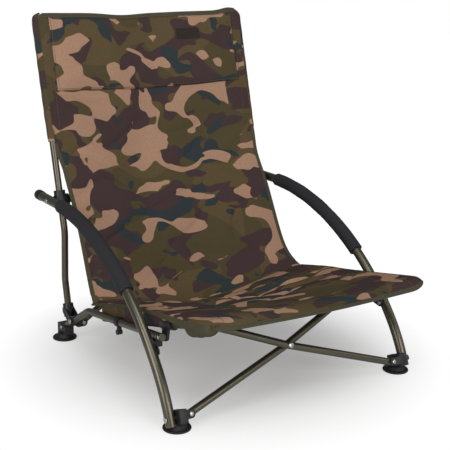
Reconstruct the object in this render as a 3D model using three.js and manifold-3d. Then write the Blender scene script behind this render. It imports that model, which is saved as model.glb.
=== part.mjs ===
// Low folding carp chair: two side frames of bent tube, crossed tubes in front
// and behind, a cloth seat and a cloth back. Millimetres, +Z up, the front
// faces -Y. Each piece is a mesh of its own. The folding joints turn about X at
// the side frames and about the normals of the two crossed pairs.
import * as THREE from 'three';
import { mergeVertices } from 'three/addons/utils/BufferGeometryUtils.js';
import Module from 'manifold-3d';

const wasm = await Module();
wasm.setup();

// Clearances
const gap = 0.3;
const pinGap = 0.3;
const overrun = 2;
const sink = 1;
const weld = 1e-4;

// Leg and arm tube, one bent piece, measured in its own upright plane
const legPlane = 304;
const legRadius = 11;
const legFootY = -8.6;
const legFootZ = 11.1;
const legFootSlope = 69.4;
const legKneeSlope = 52.7;
const legLowerBend = 374;
const legArmBend = 601;
const armTail = 118;
const foamRadius = 16;
const foamStartY = 172;
const foamEndY = 505;
const armCapRadius = 12.4;
const armCapDepth = 16;
const armCapEnd = 3.5;

// Frame tubes behind and under the cloth
const frameRadius = 8;
const uprightPlane = 279;
const railPlane = 262;
const uprightBend = 80;
const uprightFootY = 538;
const uprightFootZ = 68;
const uprightKneeY = 557;
const uprightKneeZ = 150;
const uprightBackY = 551;
const uprightBackZ = 268;
const uprightTopY = 686;
const uprightTopZ = 752;
const sideLegBend = 60;
const sideLegRearY = 572;
const sideLegRearZ = 20;
const sideLegKneeY = 425;
const sideLegKneeZ = 110;
const sideLegPinY = 80;
const sideLegPinZ = 165;
const sideLegNose = 9;
const railRearY = 340;
const railRearZ = 117;
const railFrontY = -72;
const railFrontZ = 233;

// Feet
const footRadius = 29;
const footThick = 5;
const footEdge = 2.5;
const frontFootX = 286;
const rearFootX = 284;
const rearFootY = 556;
const saddleFrontY = 540;
const saddleRearY = 582;
const saddleTopZ = 34;
const saddleSide = 12;
const saddleRivetY = 560;

// Front crossed tubes
const frontPivotX = 258;
const frontPivotY = -5;
const frontPivotZ = 27;
const hubPointY = 72;
const hubPointZ = 200;
const crossingHeight = 87.6;
const crossEndInset = 19;
const hubSpanX = railPlane - crossEndInset;
const frontCrossReach = 2.9;
const crossTubeTail = 10;
const crossBend = 260;
const earWall = 5;
const earRadius = 9;
const earBlockX = 276;
const earBlockReach = 14;
const earBlockDepth = 22;
const pedestalHalf = 14;
const pedestalTop = 22;

// Rear crossed tubes
const rearPivotX = 250;
const rearPivotY = 536;
const rearPivotZ = 44;
const rearCrossEndX = 253.3;
const rearTubeTail = 7;
const clevisBlockX = 262;
const clevisBlockEnd = 266.6;
const clevisWall = 4;
const clevisRadius = 9;
const clevisStubRadius = 3;

// Arm hub, which slides on the upright
const hubZ = 342;
const hubSleeveRadius = 13.5;
const hubSleeveLength = 46;
const hubBossRadius = 12.5;
const hubInnerX = 259.5;
const hubInnerRadius = 14;

// Corner hub, where rail, lower side tube and front cross tube meet
const cornerSleeveRadius = 12.5;
const cornerSleeveLength = 44;
const cornerSleeveY = 75;
const cornerBossX = 249.5;
const cornerBossRadius = 12;
const cornerCheekX = 265;
const cornerCheekRadius = 11;

// Collar at the upright's foot
const collarRadius = 12.5;
const collarLowZ = 62;
const collarHighZ = 92;
const collarPinY = 508;
const collarPinZ = 59;
const cheekWall = 3.5;
const cheekRadius = 9.5;
const cheekTopY = 541;
const cheekTopZ = 76;

// Bracket on the front leg, the rest for the lower side tube
const bracketWall = 3;
const ledgeFrontY = 86;
const ledgeRearY = 112;
const ledgeDrop = 14;
const bracketRivetZ = 140;
const bracketRadius = 9;

// Strap clip on the lower side tube
const clipY = 267;
const clipWall = 2.8;
const clipWidth = 14;
const clipStem = 12;
const clipStemHalf = 4;
const clipKnobRadius = 6;

// Pins and rivets
const pinRadius = 3;
const rivetRadius = 2.5;
const headRadius = 6.5;
const rivetHeadRadius = 5;
const headThick = 2;
const plugDepth = 5;

// Cloth
const clothHalf = 1.5;
const seatHalfWidth = 272;
const seatFrontY = -100;
const seatKneeY = 250;
const seatFrontZ = 251;
const seatFall = 72.7;
const creaseY = 425;
const creaseZ = 128;
const creaseSeam = 1.8;
const creaseDropY = 5;
const creaseDropZ = 12;
const seatSag = 24;
const seatFrontSag = 18;
const seatCorner = 34;
const backHalfWidth = 268;
const backSag = 27;
const backOverTop = 13;
const backTopZ = uprightTopZ + backOverTop;
const sleeveLowZ = 476;
const sleeveShort = 10;
const sleeveHighZ = uprightTopZ - sleeveShort;
const sleeveInner = 8.5;
const sleeveWall = 2.5;
const foldDepth = 2.6;
const foldPitch = 92;
const pocketLength = 100;
const pocketWall = 5;
const pocketBore = 8.6;
const pocketEnd = 8;
const headLowZ = 590;
const headThickMin = 3;
const headThickMid = 9;
const headSide = 14;

// Numbers of facets
const tubeSides = 14;
const pinSides = 10;
const discSides = 20;
const [seatRows, seatColumns] = [20, 20];
const [backRows, backColumns] = [22, 18];
const [headRows, headColumns] = [8, 14];
const bendStep = 6.5;

// Materials
const coat = (color, roughness, metalness) => new THREE.MeshStandardMaterial({ color, roughness, metalness });
const bronze = coat(0x5c5848, 0.42, 0.75);
const plastic = coat(0x1b1b1c, 0.6, 0);
const foam = coat(0x2a2a2c, 0.95, 0);
const steel = coat(0xb9b9b4, 0.3, 0.95);
const cloth = coat(0x5a4d38, 0.95, 0);
const olive = coat(0x504e3c, 0.95, 0);

const V = (x, y, z) => new THREE.Vector3(x, y, z);
const radians = THREE.MathUtils.degToRad;
const chair = new THREE.Group();

function piece(name, geometry, material) {
  const mesh = new THREE.Mesh(geometry, material);
  mesh.name = name;
  chair.add(mesh);
  return mesh;
}

// Solids, joined and cut
function toSolid(geometry) {
  const bare = geometry.clone();
  bare.deleteAttribute('normal');
  bare.deleteAttribute('uv');
  const merged = mergeVertices(bare, weld);
  const triVerts = Uint32Array.from(merged.index.array);
  const vertProperties = Float32Array.from(merged.attributes.position.array);
  return new wasm.Manifold(new wasm.Mesh({ numProp: 3, vertProperties, triVerts }));
}

function fromSolid(body) {
  const mesh = body.getMesh();
  const geometry = new THREE.BufferGeometry();
  geometry.setAttribute('position', new THREE.BufferAttribute(Float32Array.from(mesh.vertProperties), 3));
  geometry.setIndex(new THREE.BufferAttribute(Uint32Array.from(mesh.triVerts), 1));
  geometry.computeVertexNormals();
  return geometry;
}

function shaped(parts, cuts = []) {
  let body = toSolid(parts[0]);
  for (const part of parts.slice(1)) body = body.add(toSolid(part));
  for (const cut of cuts) body = body.subtract(toSolid(cut));
  return fromSolid(body);
}

// A path of chosen stations, so that bends get more rings than straights
class StationPath extends THREE.Curve {
  constructor(stations) {
    super();
    this.stations = stations;
  }

  getPoint(t) {
    const last = this.stations.length - 1;
    const index = Math.min(Math.floor(t * last), last - 1);
    return this.stations[index].clone().lerp(this.stations[index + 1], t * last - index);
  }

  getPointAt(u) {
    return this.getPoint(u);
  }

  getTangentAt(u) {
    return this.getTangent(u);
  }
}

// Stations along straight runs with a rounded bend at each corner
function bentStations(corners, bend) {
  const stations = [corners[0].clone()];
  for (let i = 1; i < corners.length - 1; i += 1) {
    const into = corners[i].clone().sub(corners[i - 1]).normalize();
    const away = corners[i + 1].clone().sub(corners[i]).normalize();
    const turn = into.angleTo(away);
    const reach = bend * Math.tan(turn / 2);
    const start = corners[i].clone().addScaledVector(into, -reach);
    const side = away.clone().addScaledVector(into, -away.dot(into)).normalize();
    const count = Math.max(2, Math.ceil(THREE.MathUtils.radToDeg(turn) / bendStep));
    for (let k = 0; k <= count; k += 1) {
      const angle = (turn * k) / count;
      stations.push(start.clone()
        .addScaledVector(into, bend * Math.sin(angle))
        .addScaledVector(side, bend * (1 - Math.cos(angle))));
    }
  }
  stations.push(corners[corners.length - 1].clone());
  return stations;
}

function ring(radius, sides, hole = 0) {
  const shape = new THREE.Shape();
  shape.absarc(0, 0, radius, 0, Math.PI * 2, false);
  if (hole > 0) {
    const inner = new THREE.Path();
    inner.absarc(0, 0, hole, 0, Math.PI * 2, true);
    shape.holes.push(inner);
  }
  return { shape, sides };
}

function tube(stations, radius, hole = 0) {
  const { shape, sides } = ring(radius, tubeSides, hole);
  return new THREE.ExtrudeGeometry(shape, {
    steps: stations.length - 1,
    curveSegments: sides / 2,
    bevelEnabled: false,
    extrudePath: new StationPath(stations),
  });
}

function rod(radius, from, to, sides = pinSides) {
  const along = to.clone().sub(from);
  const geometry = new THREE.CylinderGeometry(radius, radius, along.length(), sides);
  geometry.applyQuaternion(new THREE.Quaternion().setFromUnitVectors(V(0, 1, 0), along.clone().normalize()));
  const middle = from.clone().add(to).multiplyScalar(0.5);
  return geometry.translate(middle.x, middle.y, middle.z);
}

function block(xs, ys, zs) {
  const size = [xs, ys, zs].map(([low, high]) => Math.abs(high - low));
  const middle = [xs, ys, zs].map(([low, high]) => (low + high) / 2);
  return new THREE.BoxGeometry(...size).translate(...middle);
}

// The outline round two circles, counter-clockwise
function hull(a, ra, b, rb) {
  const aim = Math.atan2(b[1] - a[1], b[0] - a[0]);
  const spread = Math.acos((ra - rb) / Math.hypot(b[0] - a[0], b[1] - a[1]));
  const points = [];
  const arc = (centre, radius, start, sweep) => {
    for (let k = 0; k <= pinSides; k += 1) {
      const angle = start + (sweep * k) / pinSides;
      points.push(new THREE.Vector2(centre[0] + radius * Math.cos(angle), centre[1] + radius * Math.sin(angle)));
    }
  };
  arc(a, ra, aim + spread, 2 * (Math.PI - spread));
  arc(b, rb, aim - spread, 2 * spread);
  return points;
}

// A flat outline given thickness along the third of three axes
function prism(outline, low, high, origin, first, second) {
  const third = first.clone().cross(second);
  const geometry = new THREE.ExtrudeGeometry(new THREE.Shape(outline), { depth: high - low, bevelEnabled: false });
  geometry.translate(0, 0, low);
  geometry.applyMatrix4(new THREE.Matrix4().makeBasis(first, second, third));
  return geometry.translate(origin.x, origin.y, origin.z);
}

// An upright plate across X, its outline given as y and z
function sidePlate(outline, side, inner, outer) {
  const xs = [side * inner, side * outer].sort((p, q) => p - q);
  return prism(outline, xs[0], xs[1], V(0, 0, 0), V(0, 1, 0), V(0, 0, 1));
}

// Leg and arm line in y and z: two arcs, then a straight tail
function legLine() {
  const points = [];
  let y = legFootY;
  let z = legFootZ;
  let slope = radians(legFootSlope);
  points.push([y, z]);
  for (const [bend, end] of [[legLowerBend, legKneeSlope], [legArmBend, 0]]) {
    const turn = slope - radians(end);
    const count = Math.ceil(THREE.MathUtils.radToDeg(turn) / (bendStep / 2));
    for (let k = 1; k <= count; k += 1) {
      const next = slope - turn / count;
      y += bend * (Math.sin(slope) - Math.sin(next));
      z += bend * (Math.cos(next) - Math.cos(slope));
      slope = next;
      points.push([y, z]);
    }
  }
  points.push([y + armTail, z]);
  return points;
}

const armLine = legLine();
const armEndY = armLine[armLine.length - 1][0];
const armLevelZ = armLine[armLine.length - 1][1];

// The leg line's y at a height
function legYAt(height) {
  const index = armLine.findIndex(([, z]) => z >= height);
  const [low, high] = [armLine[index - 1], armLine[index]];
  return low[0] + ((high[0] - low[0]) * (height - low[1])) / (high[1] - low[1]);
}

// Lines of the side frame
const slideRun = Math.hypot(uprightTopY - uprightBackY, uprightTopZ - uprightBackZ);
const slideY = (uprightTopY - uprightBackY) / slideRun;
const slideZ = (uprightTopZ - uprightBackZ) / slideRun;
const uprightYAt = (height) => uprightBackY + ((height - uprightBackZ) * slideY) / slideZ;
const hubY = uprightYAt(hubZ);
const railSlope = (railFrontZ - railRearZ) / (railFrontY - railRearY);
const railZAt = (y) => railRearZ + (y - railRearY) * railSlope;
const railRun = Math.hypot(1, railSlope);
const lowSlope = (sideLegRearZ - sideLegKneeZ) / (sideLegRearY - sideLegKneeY);
const highSlope = (sideLegKneeZ - sideLegPinZ) / (sideLegKneeY - sideLegPinY);
const sideLegZAt = (y) => sideLegPinZ + (y - sideLegPinY) * (y < sideLegKneeY ? highSlope : 0)
  + (y < sideLegKneeY ? 0 : (sideLegKneeY - sideLegPinY) * highSlope + (y - sideLegKneeY) * lowSlope);

// Planes of the crossed tubes: w climbs in the plane, n points forward and up
const frontLean = Math.atan2(hubPointY - frontPivotY, hubPointZ - frontPivotZ);
const frontW = V(0, Math.sin(frontLean), Math.cos(frontLean));
const frontN = V(0, -Math.cos(frontLean), Math.sin(frontLean));
const hubHeight = Math.hypot(hubPointY - frontPivotY, hubPointZ - frontPivotZ);
const rearLean = Math.atan2(hubY - rearPivotY, hubZ - rearPivotZ);
const rearW = V(0, Math.sin(rearLean), Math.cos(rearLean));
const rearN = V(0, -Math.cos(rearLean), Math.sin(rearLean));
const rearHeight = Math.hypot(hubY - rearPivotY, hubZ - rearPivotZ);
const planePoint = (x, w, n, y, z, wAxis, nAxis) => V(x, y, z).addScaledVector(wAxis, w).addScaledVector(nAxis, n);
const frontPoint = (x, w, n) => planePoint(x, w, n, frontPivotY, frontPivotZ, frontW, frontN);
const rearPoint = (x, w, n) => planePoint(x, w, n, rearPivotY, rearPivotZ, rearW, rearN);
const crossOffset = frameRadius + pinGap;

function frontCross(name, side) {
  const n = side * crossOffset;
  const foot = frontPoint(side * frontPivotX, 0, n);
  const middle = frontPoint(0, crossingHeight, n);
  const top = frontPoint(-side * hubSpanX, hubHeight, n);
  const tail = foot.clone().addScaledVector(foot.clone().sub(middle).normalize(), crossTubeTail);
  const end = top.clone().addScaledVector(top.clone().sub(middle).normalize(), frontCrossReach);
  const bore = (x, w) => rod(pinRadius + pinGap, frontPoint(x, w, n - frameRadius - overrun),
    frontPoint(x, w, n + frameRadius + overrun));
  const body = tube(bentStations([tail, middle, end], crossBend), frameRadius);
  piece(name, shaped([body], [bore(side * frontPivotX, 0), bore(0, crossingHeight)]), bronze);
}

const rearRise = (x) => (rearHeight * (rearPivotX + x)) / (2 * rearPivotX);

function rearCross(name, side) {
  const n = -side * crossOffset;
  const foot = rearPoint(side * rearPivotX, 0, n);
  const end = rearPoint(-side * rearCrossEndX, rearRise(rearCrossEndX), n);
  const tail = foot.clone().addScaledVector(foot.clone().sub(end).normalize(), rearTubeTail);
  const bore = (x, w) => rod(pinRadius + pinGap, rearPoint(x, w, n - frameRadius - overrun),
    rearPoint(x, w, n + frameRadius + overrun));
  const body = tube([tail, end], frameRadius);
  piece(name, shaped([body], [bore(side * rearPivotX, 0), bore(0, rearRise(0))]), bronze);
}

function crossRivet(name, point, w) {
  const reach = 2 * frameRadius + 2 * pinGap;
  piece(name, shaped([
    rod(pinRadius, point(0, w, -reach - headThick), point(0, w, reach + headThick)),
    rod(headRadius, point(0, w, -reach - headThick), point(0, w, -reach)),
    rod(headRadius, point(0, w, reach), point(0, w, reach + headThick)),
  ]), steel);
}

// A pin along X with a head at each end that has one
function crossPin(side, y, z, radius, inner, outer, headInner, headOuter, headSize) {
  const parts = [rod(radius, V(side * inner, y, z), V(side * outer, y, z))];
  if (headInner) parts.push(rod(headSize, V(side * (inner - headThick), y, z), V(side * inner, y, z)));
  if (headOuter) parts.push(rod(headSize, V(side * outer, y, z), V(side * (outer + headThick), y, z)));
  return shaped(parts);
}

const hole = (side, y, z, radius, inner, outer) => rod(radius + pinGap, V(side * inner, y, z), V(side * outer, y, z));

function disc(x, y) {
  const profile = [
    new THREE.Vector2(0, 0),
    new THREE.Vector2(footRadius, 0),
    new THREE.Vector2(footRadius, footThick - footEdge),
    new THREE.Vector2(footRadius - footEdge, footThick),
    new THREE.Vector2(0, footThick),
  ];
  return new THREE.LatheGeometry(profile, discSides).rotateX(Math.PI / 2).translate(x, y, 0);
}

// Cloth: a slab of given rows and columns about a surface, with closed edges
function slab(rows, columns, surface, halfAt) {
  const grid = [];
  for (let i = 0; i <= rows; i += 1) {
    grid.push([]);
    for (let j = 0; j <= columns; j += 1) grid[i].push(surface(i / rows, j / columns));
  }
  const clamp = (value, top) => Math.max(0, Math.min(top, value));
  const upper = [];
  const lower = [];
  for (let i = 0; i <= rows; i += 1) {
    for (let j = 0; j <= columns; j += 1) {
      const along = grid[clamp(i + 1, rows)][j].clone().sub(grid[clamp(i - 1, rows)][j]);
      const across = grid[i][clamp(j + 1, columns)].clone().sub(grid[i][clamp(j - 1, columns)]);
      const normal = across.cross(along).normalize();
      const [up, down] = halfAt(i / rows, j / columns);
      upper.push(grid[i][j].clone().addScaledVector(normal, up));
      lower.push(grid[i][j].clone().addScaledVector(normal, -down));
    }
  }
  const positions = [...upper, ...lower].flatMap((point) => [point.x, point.y, point.z]);
  const below = upper.length;
  const at = (i, j) => i * (columns + 1) + j;
  const faces = [];
  const quad = (a, b, c, d) => faces.push(a, b, c, a, c, d);
  for (let i = 0; i < rows; i += 1) {
    for (let j = 0; j < columns; j += 1) {
      quad(at(i, j), at(i, j + 1), at(i + 1, j + 1), at(i + 1, j));
      quad(below + at(i, j), below + at(i + 1, j), below + at(i + 1, j + 1), below + at(i, j + 1));
    }
  }
  for (let i = 0; i < rows; i += 1) {
    quad(at(i, 0), at(i + 1, 0), below + at(i + 1, 0), below + at(i, 0));
    quad(at(i + 1, columns), at(i, columns), below + at(i, columns), below + at(i + 1, columns));
  }
  for (let j = 0; j < columns; j += 1) {
    quad(at(0, j + 1), at(0, j), below + at(0, j), below + at(0, j + 1));
    quad(at(rows, j), at(rows, j + 1), below + at(rows, j + 1), below + at(rows, j));
  }
  const geometry = new THREE.BufferGeometry();
  geometry.setAttribute('position', new THREE.BufferAttribute(new Float32Array(positions), 3));
  geometry.setIndex(faces);
  geometry.computeVertexNormals();
  return geometry;
}

// Seat: falls from front to knee and on to the crease, sags between the rails
const seatKneeZ = seatFrontZ - seatFall;
const seatEdgeZ = (y) => (y < seatKneeY
  ? seatFrontZ + ((seatKneeZ - seatFrontZ) * (y - seatFrontY)) / (seatKneeY - seatFrontY)
  : seatKneeZ + ((creaseZ - seatKneeZ) * (y - seatKneeY)) / (creaseY - seatKneeY));
const hang = (t) => (1 - t * t) ** 2;

function seatSurface(v, u) {
  const t = 2 * u - 1;
  const frontY = seatFrontY + seatCorner * Math.abs(t) ** 8;
  const y = frontY + (creaseY - frontY) * v;
  const sag = seatFrontSag + (seatSag - seatFrontSag) * Math.sin(Math.PI * Math.min(1, v * 1.6) / 2);
  const crease = v ** 6;
  const fold = foldDepth * Math.sin((seatHalfWidth * t * Math.PI) / foldPitch + 5 * v) * Math.sin(Math.PI * v) ** 2;
  const drop = (sag * (1 - crease) + creaseDropZ * crease) * hang(t);
  return V(seatHalfWidth * t, y + creaseDropY * crease * hang(t), seatEdgeZ(y) - drop + fold * hang(t));
}

// Back: from the crease past the arm hubs to the uprights, then up along them
const sleeveFront = sleeveInner + sleeveWall / 2;
const onUpright = (height) => [
  uprightYAt(height) - sleeveFront * slideZ,
  height + sleeveFront * slideY,
];
const backTurnShares = [[0.245, 0.346], [0.485, 0.595], [0.735, 0.79]];
const backTurnY = uprightYAt(sleeveLowZ) - creaseY;
const backTurnZ = sleeveLowZ - creaseZ;
const backStartSlope = Math.atan2(backTurnZ * backTurnShares[0][1], backTurnY * backTurnShares[0][0]);
const backLine = [
  [creaseY + creaseSeam * Math.cos(backStartSlope), creaseZ + creaseSeam * Math.sin(backStartSlope)],
  ...backTurnShares.map(([shareY, shareZ]) => [creaseY + shareY * backTurnY, creaseZ + shareZ * backTurnZ]),
  onUpright(sleeveLowZ),
  onUpright(sleeveLowZ + 2 * hubSleeveLength),
  onUpright((sleeveLowZ + backTopZ) / 2),
  onUpright(backTopZ),
];
const backCurve = new THREE.CatmullRomCurve3(backLine.map(([y, z]) => V(0, y, z)), false, 'centripetal');
const backLength = backCurve.getLength();

function backSurface(v, u) {
  const t = 2 * u - 1;
  const point = backCurve.getPointAt(v);
  const tangent = backCurve.getTangentAt(v);
  const rise = THREE.MathUtils.smoothstep(point.z, creaseZ + backTurnShares[2][1] * backTurnZ, sleeveLowZ);
  const half = backHalfWidth + (uprightPlane - backHalfWidth) * rise;
  const crease = (1 - v) ** 8;
  const sag = backSag * (1 - crease) * (1 - v * v / 2) * hang(t);
  const fold = foldDepth * Math.sin((backHalfWidth * t * Math.PI) / foldPitch - 6 * v) * Math.sin(Math.PI * v) ** 2;
  const back = sag + fold * hang(t);
  return V(half * t,
    point.y + back * tangent.z + creaseDropY * crease * hang(t),
    point.z - back * tangent.y - creaseDropZ * crease * hang(t));
}

function cSleeve(side) {
  const opening = radians(70);
  const shape = new THREE.Shape();
  const start = Math.PI / 2;
  const sweep = side * (Math.PI * 2 - opening);
  const count = 14;
  const outline = [];
  for (let k = 0; k <= count; k += 1) {
    const angle = start - (sweep * k) / count;
    outline.push([(sleeveInner + sleeveWall) * Math.cos(angle), (sleeveInner + sleeveWall) * Math.sin(angle)]);
  }
  for (let k = count; k >= 0; k -= 1) {
    const angle = start - (sweep * k) / count;
    outline.push([sleeveInner * Math.cos(angle), sleeveInner * Math.sin(angle)]);
  }
  shape.setFromPoints(outline.map(([x, y]) => new THREE.Vector2(x, y)));
  const run = (sleeveHighZ - sleeveLowZ) / slideZ;
  const geometry = new THREE.ExtrudeGeometry(shape, { depth: run, bevelEnabled: false });
  geometry.applyMatrix4(new THREE.Matrix4().makeBasis(V(1, 0, 0), V(0, -slideZ, slideY), V(0, -slideY, -slideZ)));
  const top = V(side * uprightPlane, uprightYAt(sleeveHighZ), sleeveHighZ);
  return geometry.translate(top.x, top.y, top.z);
}

// Head panel: a pad lying on the front of the back's upper end
function headSurface(v, u) {
  const low = 1 - (backTopZ - headLowZ) / slideZ / backLength;
  const inset = headSide / uprightPlane / 2;
  return backSurface(low + (1 - low) * v, inset + (1 - 2 * inset) * u);
}

function headHalf(v, u) {
  const crown = Math.min(1, 6 * v * (1 - v)) * Math.min(1, 8 * u * (1 - u));
  return [clothHalf + gap + headThickMin + (headThickMid - headThickMin) * crown, -clothHalf - gap];
}

function buildSide(word, side) {
  const name = (rest) => `${word}_${rest}`;
  const X = (x) => side * x;
  const rivetY = legYAt(bracketRivetZ);

  // Front leg with arm, its foam grip and end cap
  const legStations = armLine.map(([y, z]) => V(X(legPlane), y, z));
  const legCuts = [
    hole(side, frontPivotY, frontPivotZ, pinRadius, legPlane - legRadius - overrun, legPlane + legRadius + overrun),
    hole(side, hubY, armLevelZ, pinRadius, legPlane - legRadius - overrun, legPlane + legRadius + overrun),
    hole(side, rivetY, bracketRivetZ, rivetRadius, legPlane - legRadius - overrun, legPlane),
  ];
  piece(name('front_leg_arm'), shaped([tube(legStations, legRadius)], legCuts), bronze);
  const foamStations = legStations.filter((point) => point.y > foamStartY && point.y < foamEndY);
  piece(name('arm_foam'), tube(foamStations, foamRadius, legRadius + gap), foam);
  piece(name('arm_end_cap'), shaped(
    [rod(armCapRadius, V(X(legPlane), armEndY - armCapDepth, armLevelZ),
      V(X(legPlane), armEndY + gap + armCapEnd, armLevelZ), tubeSides)],
    [rod(legRadius + gap, V(X(legPlane), armEndY - armCapDepth - overrun, armLevelZ),
      V(X(legPlane), armEndY + gap, armLevelZ), tubeSides)],
  ), plastic);

  // Back upright with its end plug
  const uprightCorners = [
    [uprightFootY, uprightFootZ], [uprightKneeY, uprightKneeZ],
    [uprightBackY, uprightBackZ], [uprightTopY, uprightTopZ],
  ].map(([y, z]) => V(X(uprightPlane), y, z));
  piece(name('back_upright'), tube(bentStations(uprightCorners, uprightBend), frameRadius), bronze);
  const slide = V(0, slideY, slideZ);
  const plugBase = uprightCorners[3].clone().addScaledVector(slide, gap);
  piece(name('upright_end_cap'), rod(frameRadius, plugBase,
    plugBase.clone().addScaledVector(slide, plugDepth), tubeSides), plastic);

  // Arm hub on the upright and the arm's pivot pin
  const hub = V(X(uprightPlane), hubY, hubZ);
  const hubLow = hub.clone().addScaledVector(slide, -hubSleeveLength / 2);
  const hubHigh = hub.clone().addScaledVector(slide, hubSleeveLength / 2);
  const armInner = legPlane - legRadius;
  const armOuter = legPlane + legRadius;
  const hubPinInner = uprightPlane + frameRadius + 2 * gap;
  piece(name('arm_hub'), shaped([
    rod(hubSleeveRadius, hubLow, hubHigh, discSides),
    rod(hubBossRadius, hub, V(X(armInner - gap), hubY, hubZ), discSides),
    rod(hubInnerRadius, V(X(hubInnerX), hubY, hubZ), hub, discSides),
  ], [
    rod(frameRadius + gap, hubLow.clone().addScaledVector(slide, -overrun),
      hubHigh.clone().addScaledVector(slide, overrun), tubeSides),
    hole(side, hubY, armLevelZ, pinRadius, hubPinInner, armInner),
  ]), plastic);
  piece(name('arm_pivot_pin'), crossPin(side, hubY, armLevelZ, pinRadius, hubPinInner + gap,
    armOuter + gap, false, true, headRadius), steel);

  // Lower side tube, its pins, its foot and its strap clip
  const sideDir = V(0, sideLegPinY - sideLegKneeY, sideLegPinZ - sideLegKneeZ).normalize();
  const sidePin = V(X(uprightPlane), sideLegPinY, sideLegPinZ);
  const sideCorners = [
    V(X(uprightPlane), sideLegRearY, sideLegRearZ),
    V(X(uprightPlane), sideLegKneeY, sideLegKneeZ),
    sidePin.clone().addScaledVector(sideDir, sideLegNose),
  ];
  const tubeInner = uprightPlane - frameRadius;
  const tubeOuter = uprightPlane + frameRadius;
  const rivetZ = sideLegZAt(saddleRivetY);
  const sideCut = (y, z, radius) => hole(side, y, z, radius, tubeInner - overrun, tubeOuter + overrun);
  piece(name('rear_leg'), shaped([tube(bentStations(sideCorners, sideLegBend), frameRadius)], [
    sideCut(sideLegPinY, sideLegPinZ, pinRadius),
    sideCut(collarPinY, collarPinZ, pinRadius),
    sideCut(saddleRivetY, rivetZ, rivetRadius),
  ]), bronze);
  const lowDir = V(0, sideLegRearY - sideLegKneeY, sideLegRearZ - sideLegKneeZ).normalize();
  const saddleInner = uprightPlane - saddleSide;
  const saddleOuter = uprightPlane + saddleSide;
  piece(name('rear_foot'), shaped([
    disc(X(rearFootX), rearFootY),
    block([X(saddleInner), X(saddleOuter)], [saddleFrontY, saddleRearY], [footThick - sink, saddleTopZ]),
  ], [
    rod(frameRadius + gap, sideCorners[1], sideCorners[0].clone().addScaledVector(lowDir, gap), tubeSides),
    hole(side, saddleRivetY, rivetZ, rivetRadius, saddleInner - overrun, saddleOuter + overrun),
  ]), plastic);
  piece(name('rear_foot_rivet'), crossPin(side, saddleRivetY, rivetZ, rivetRadius,
    saddleInner - gap, saddleOuter + gap, true, true, rivetHeadRadius), steel);
  const clipZ = sideLegZAt(clipY);
  const clipAt = V(X(uprightPlane), clipY, clipZ);
  const clipOuter = frameRadius + gap + clipWall;
  const clipLow = clipAt.clone().addScaledVector(sideDir, -clipWidth / 2);
  const clipHigh = clipAt.clone().addScaledVector(sideDir, clipWidth / 2);
  piece(name('rail_clip'), shaped([
    rod(clipOuter, clipLow, clipHigh, discSides),
    block([X(uprightPlane - clipStemHalf), X(uprightPlane + clipStemHalf)],
      [clipY - clipStemHalf, clipY + clipStemHalf], [clipZ - clipOuter - clipStem, clipZ - frameRadius]),
    rod(clipKnobRadius, V(X(uprightPlane - clipKnobRadius), clipY, clipZ - clipOuter - clipStem),
      V(X(uprightPlane + clipKnobRadius), clipY, clipZ - clipOuter - clipStem)),
  ], [
    rod(frameRadius + gap, clipAt.clone().addScaledVector(sideDir, -clipWidth),
      clipAt.clone().addScaledVector(sideDir, clipWidth), tubeSides),
    block([X(uprightPlane - clipOuter - overrun), X(tubeInner + 2 * gap)],
      [clipY - clipWidth, clipY + clipWidth], [clipZ - clipOuter - overrun, clipZ + clipOuter + overrun]),
  ]), plastic);

  // Collar that holds the upright's foot and forks round the side tube
  const footDir = V(0, uprightKneeY - uprightFootY, uprightKneeZ - uprightFootZ).normalize();
  const footAt = (height) => V(X(uprightPlane), uprightFootY
    + ((height - uprightFootZ) * footDir.y) / footDir.z, height);
  const cheekOutline = hull([collarPinY, collarPinZ], cheekRadius, [cheekTopY, cheekTopZ], cheekRadius);
  const collarInner = tubeInner - gap;
  const collarOuter = tubeOuter + gap;
  piece(name('upright_collar'), shaped([
    rod(collarRadius, footAt(collarLowZ), footAt(collarHighZ), discSides),
    sidePlate(cheekOutline, side, collarInner - cheekWall, collarInner),
    sidePlate(cheekOutline, side, collarOuter, collarOuter + cheekWall),
    sidePlate(hull([rearPivotY, rearPivotZ], clevisRadius, [cheekTopY, cheekTopZ], cheekRadius),
      side, collarInner - cheekWall, collarInner),
  ], [
    rod(frameRadius + gap, footAt(uprightFootZ - gap), footAt(collarHighZ + overrun), tubeSides),
    hole(side, collarPinY, collarPinZ, pinRadius, collarInner - cheekWall - overrun, collarOuter + cheekWall + overrun),
    hole(side, rearPivotY, rearPivotZ, clevisStubRadius, collarInner - cheekWall - overrun, collarInner + overrun),
  ]), plastic);
  piece(name('collar_pin'), crossPin(side, collarPinY, collarPinZ, pinRadius,
    collarInner - cheekWall - gap, collarOuter + cheekWall + gap, true, true, headRadius), steel);

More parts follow.
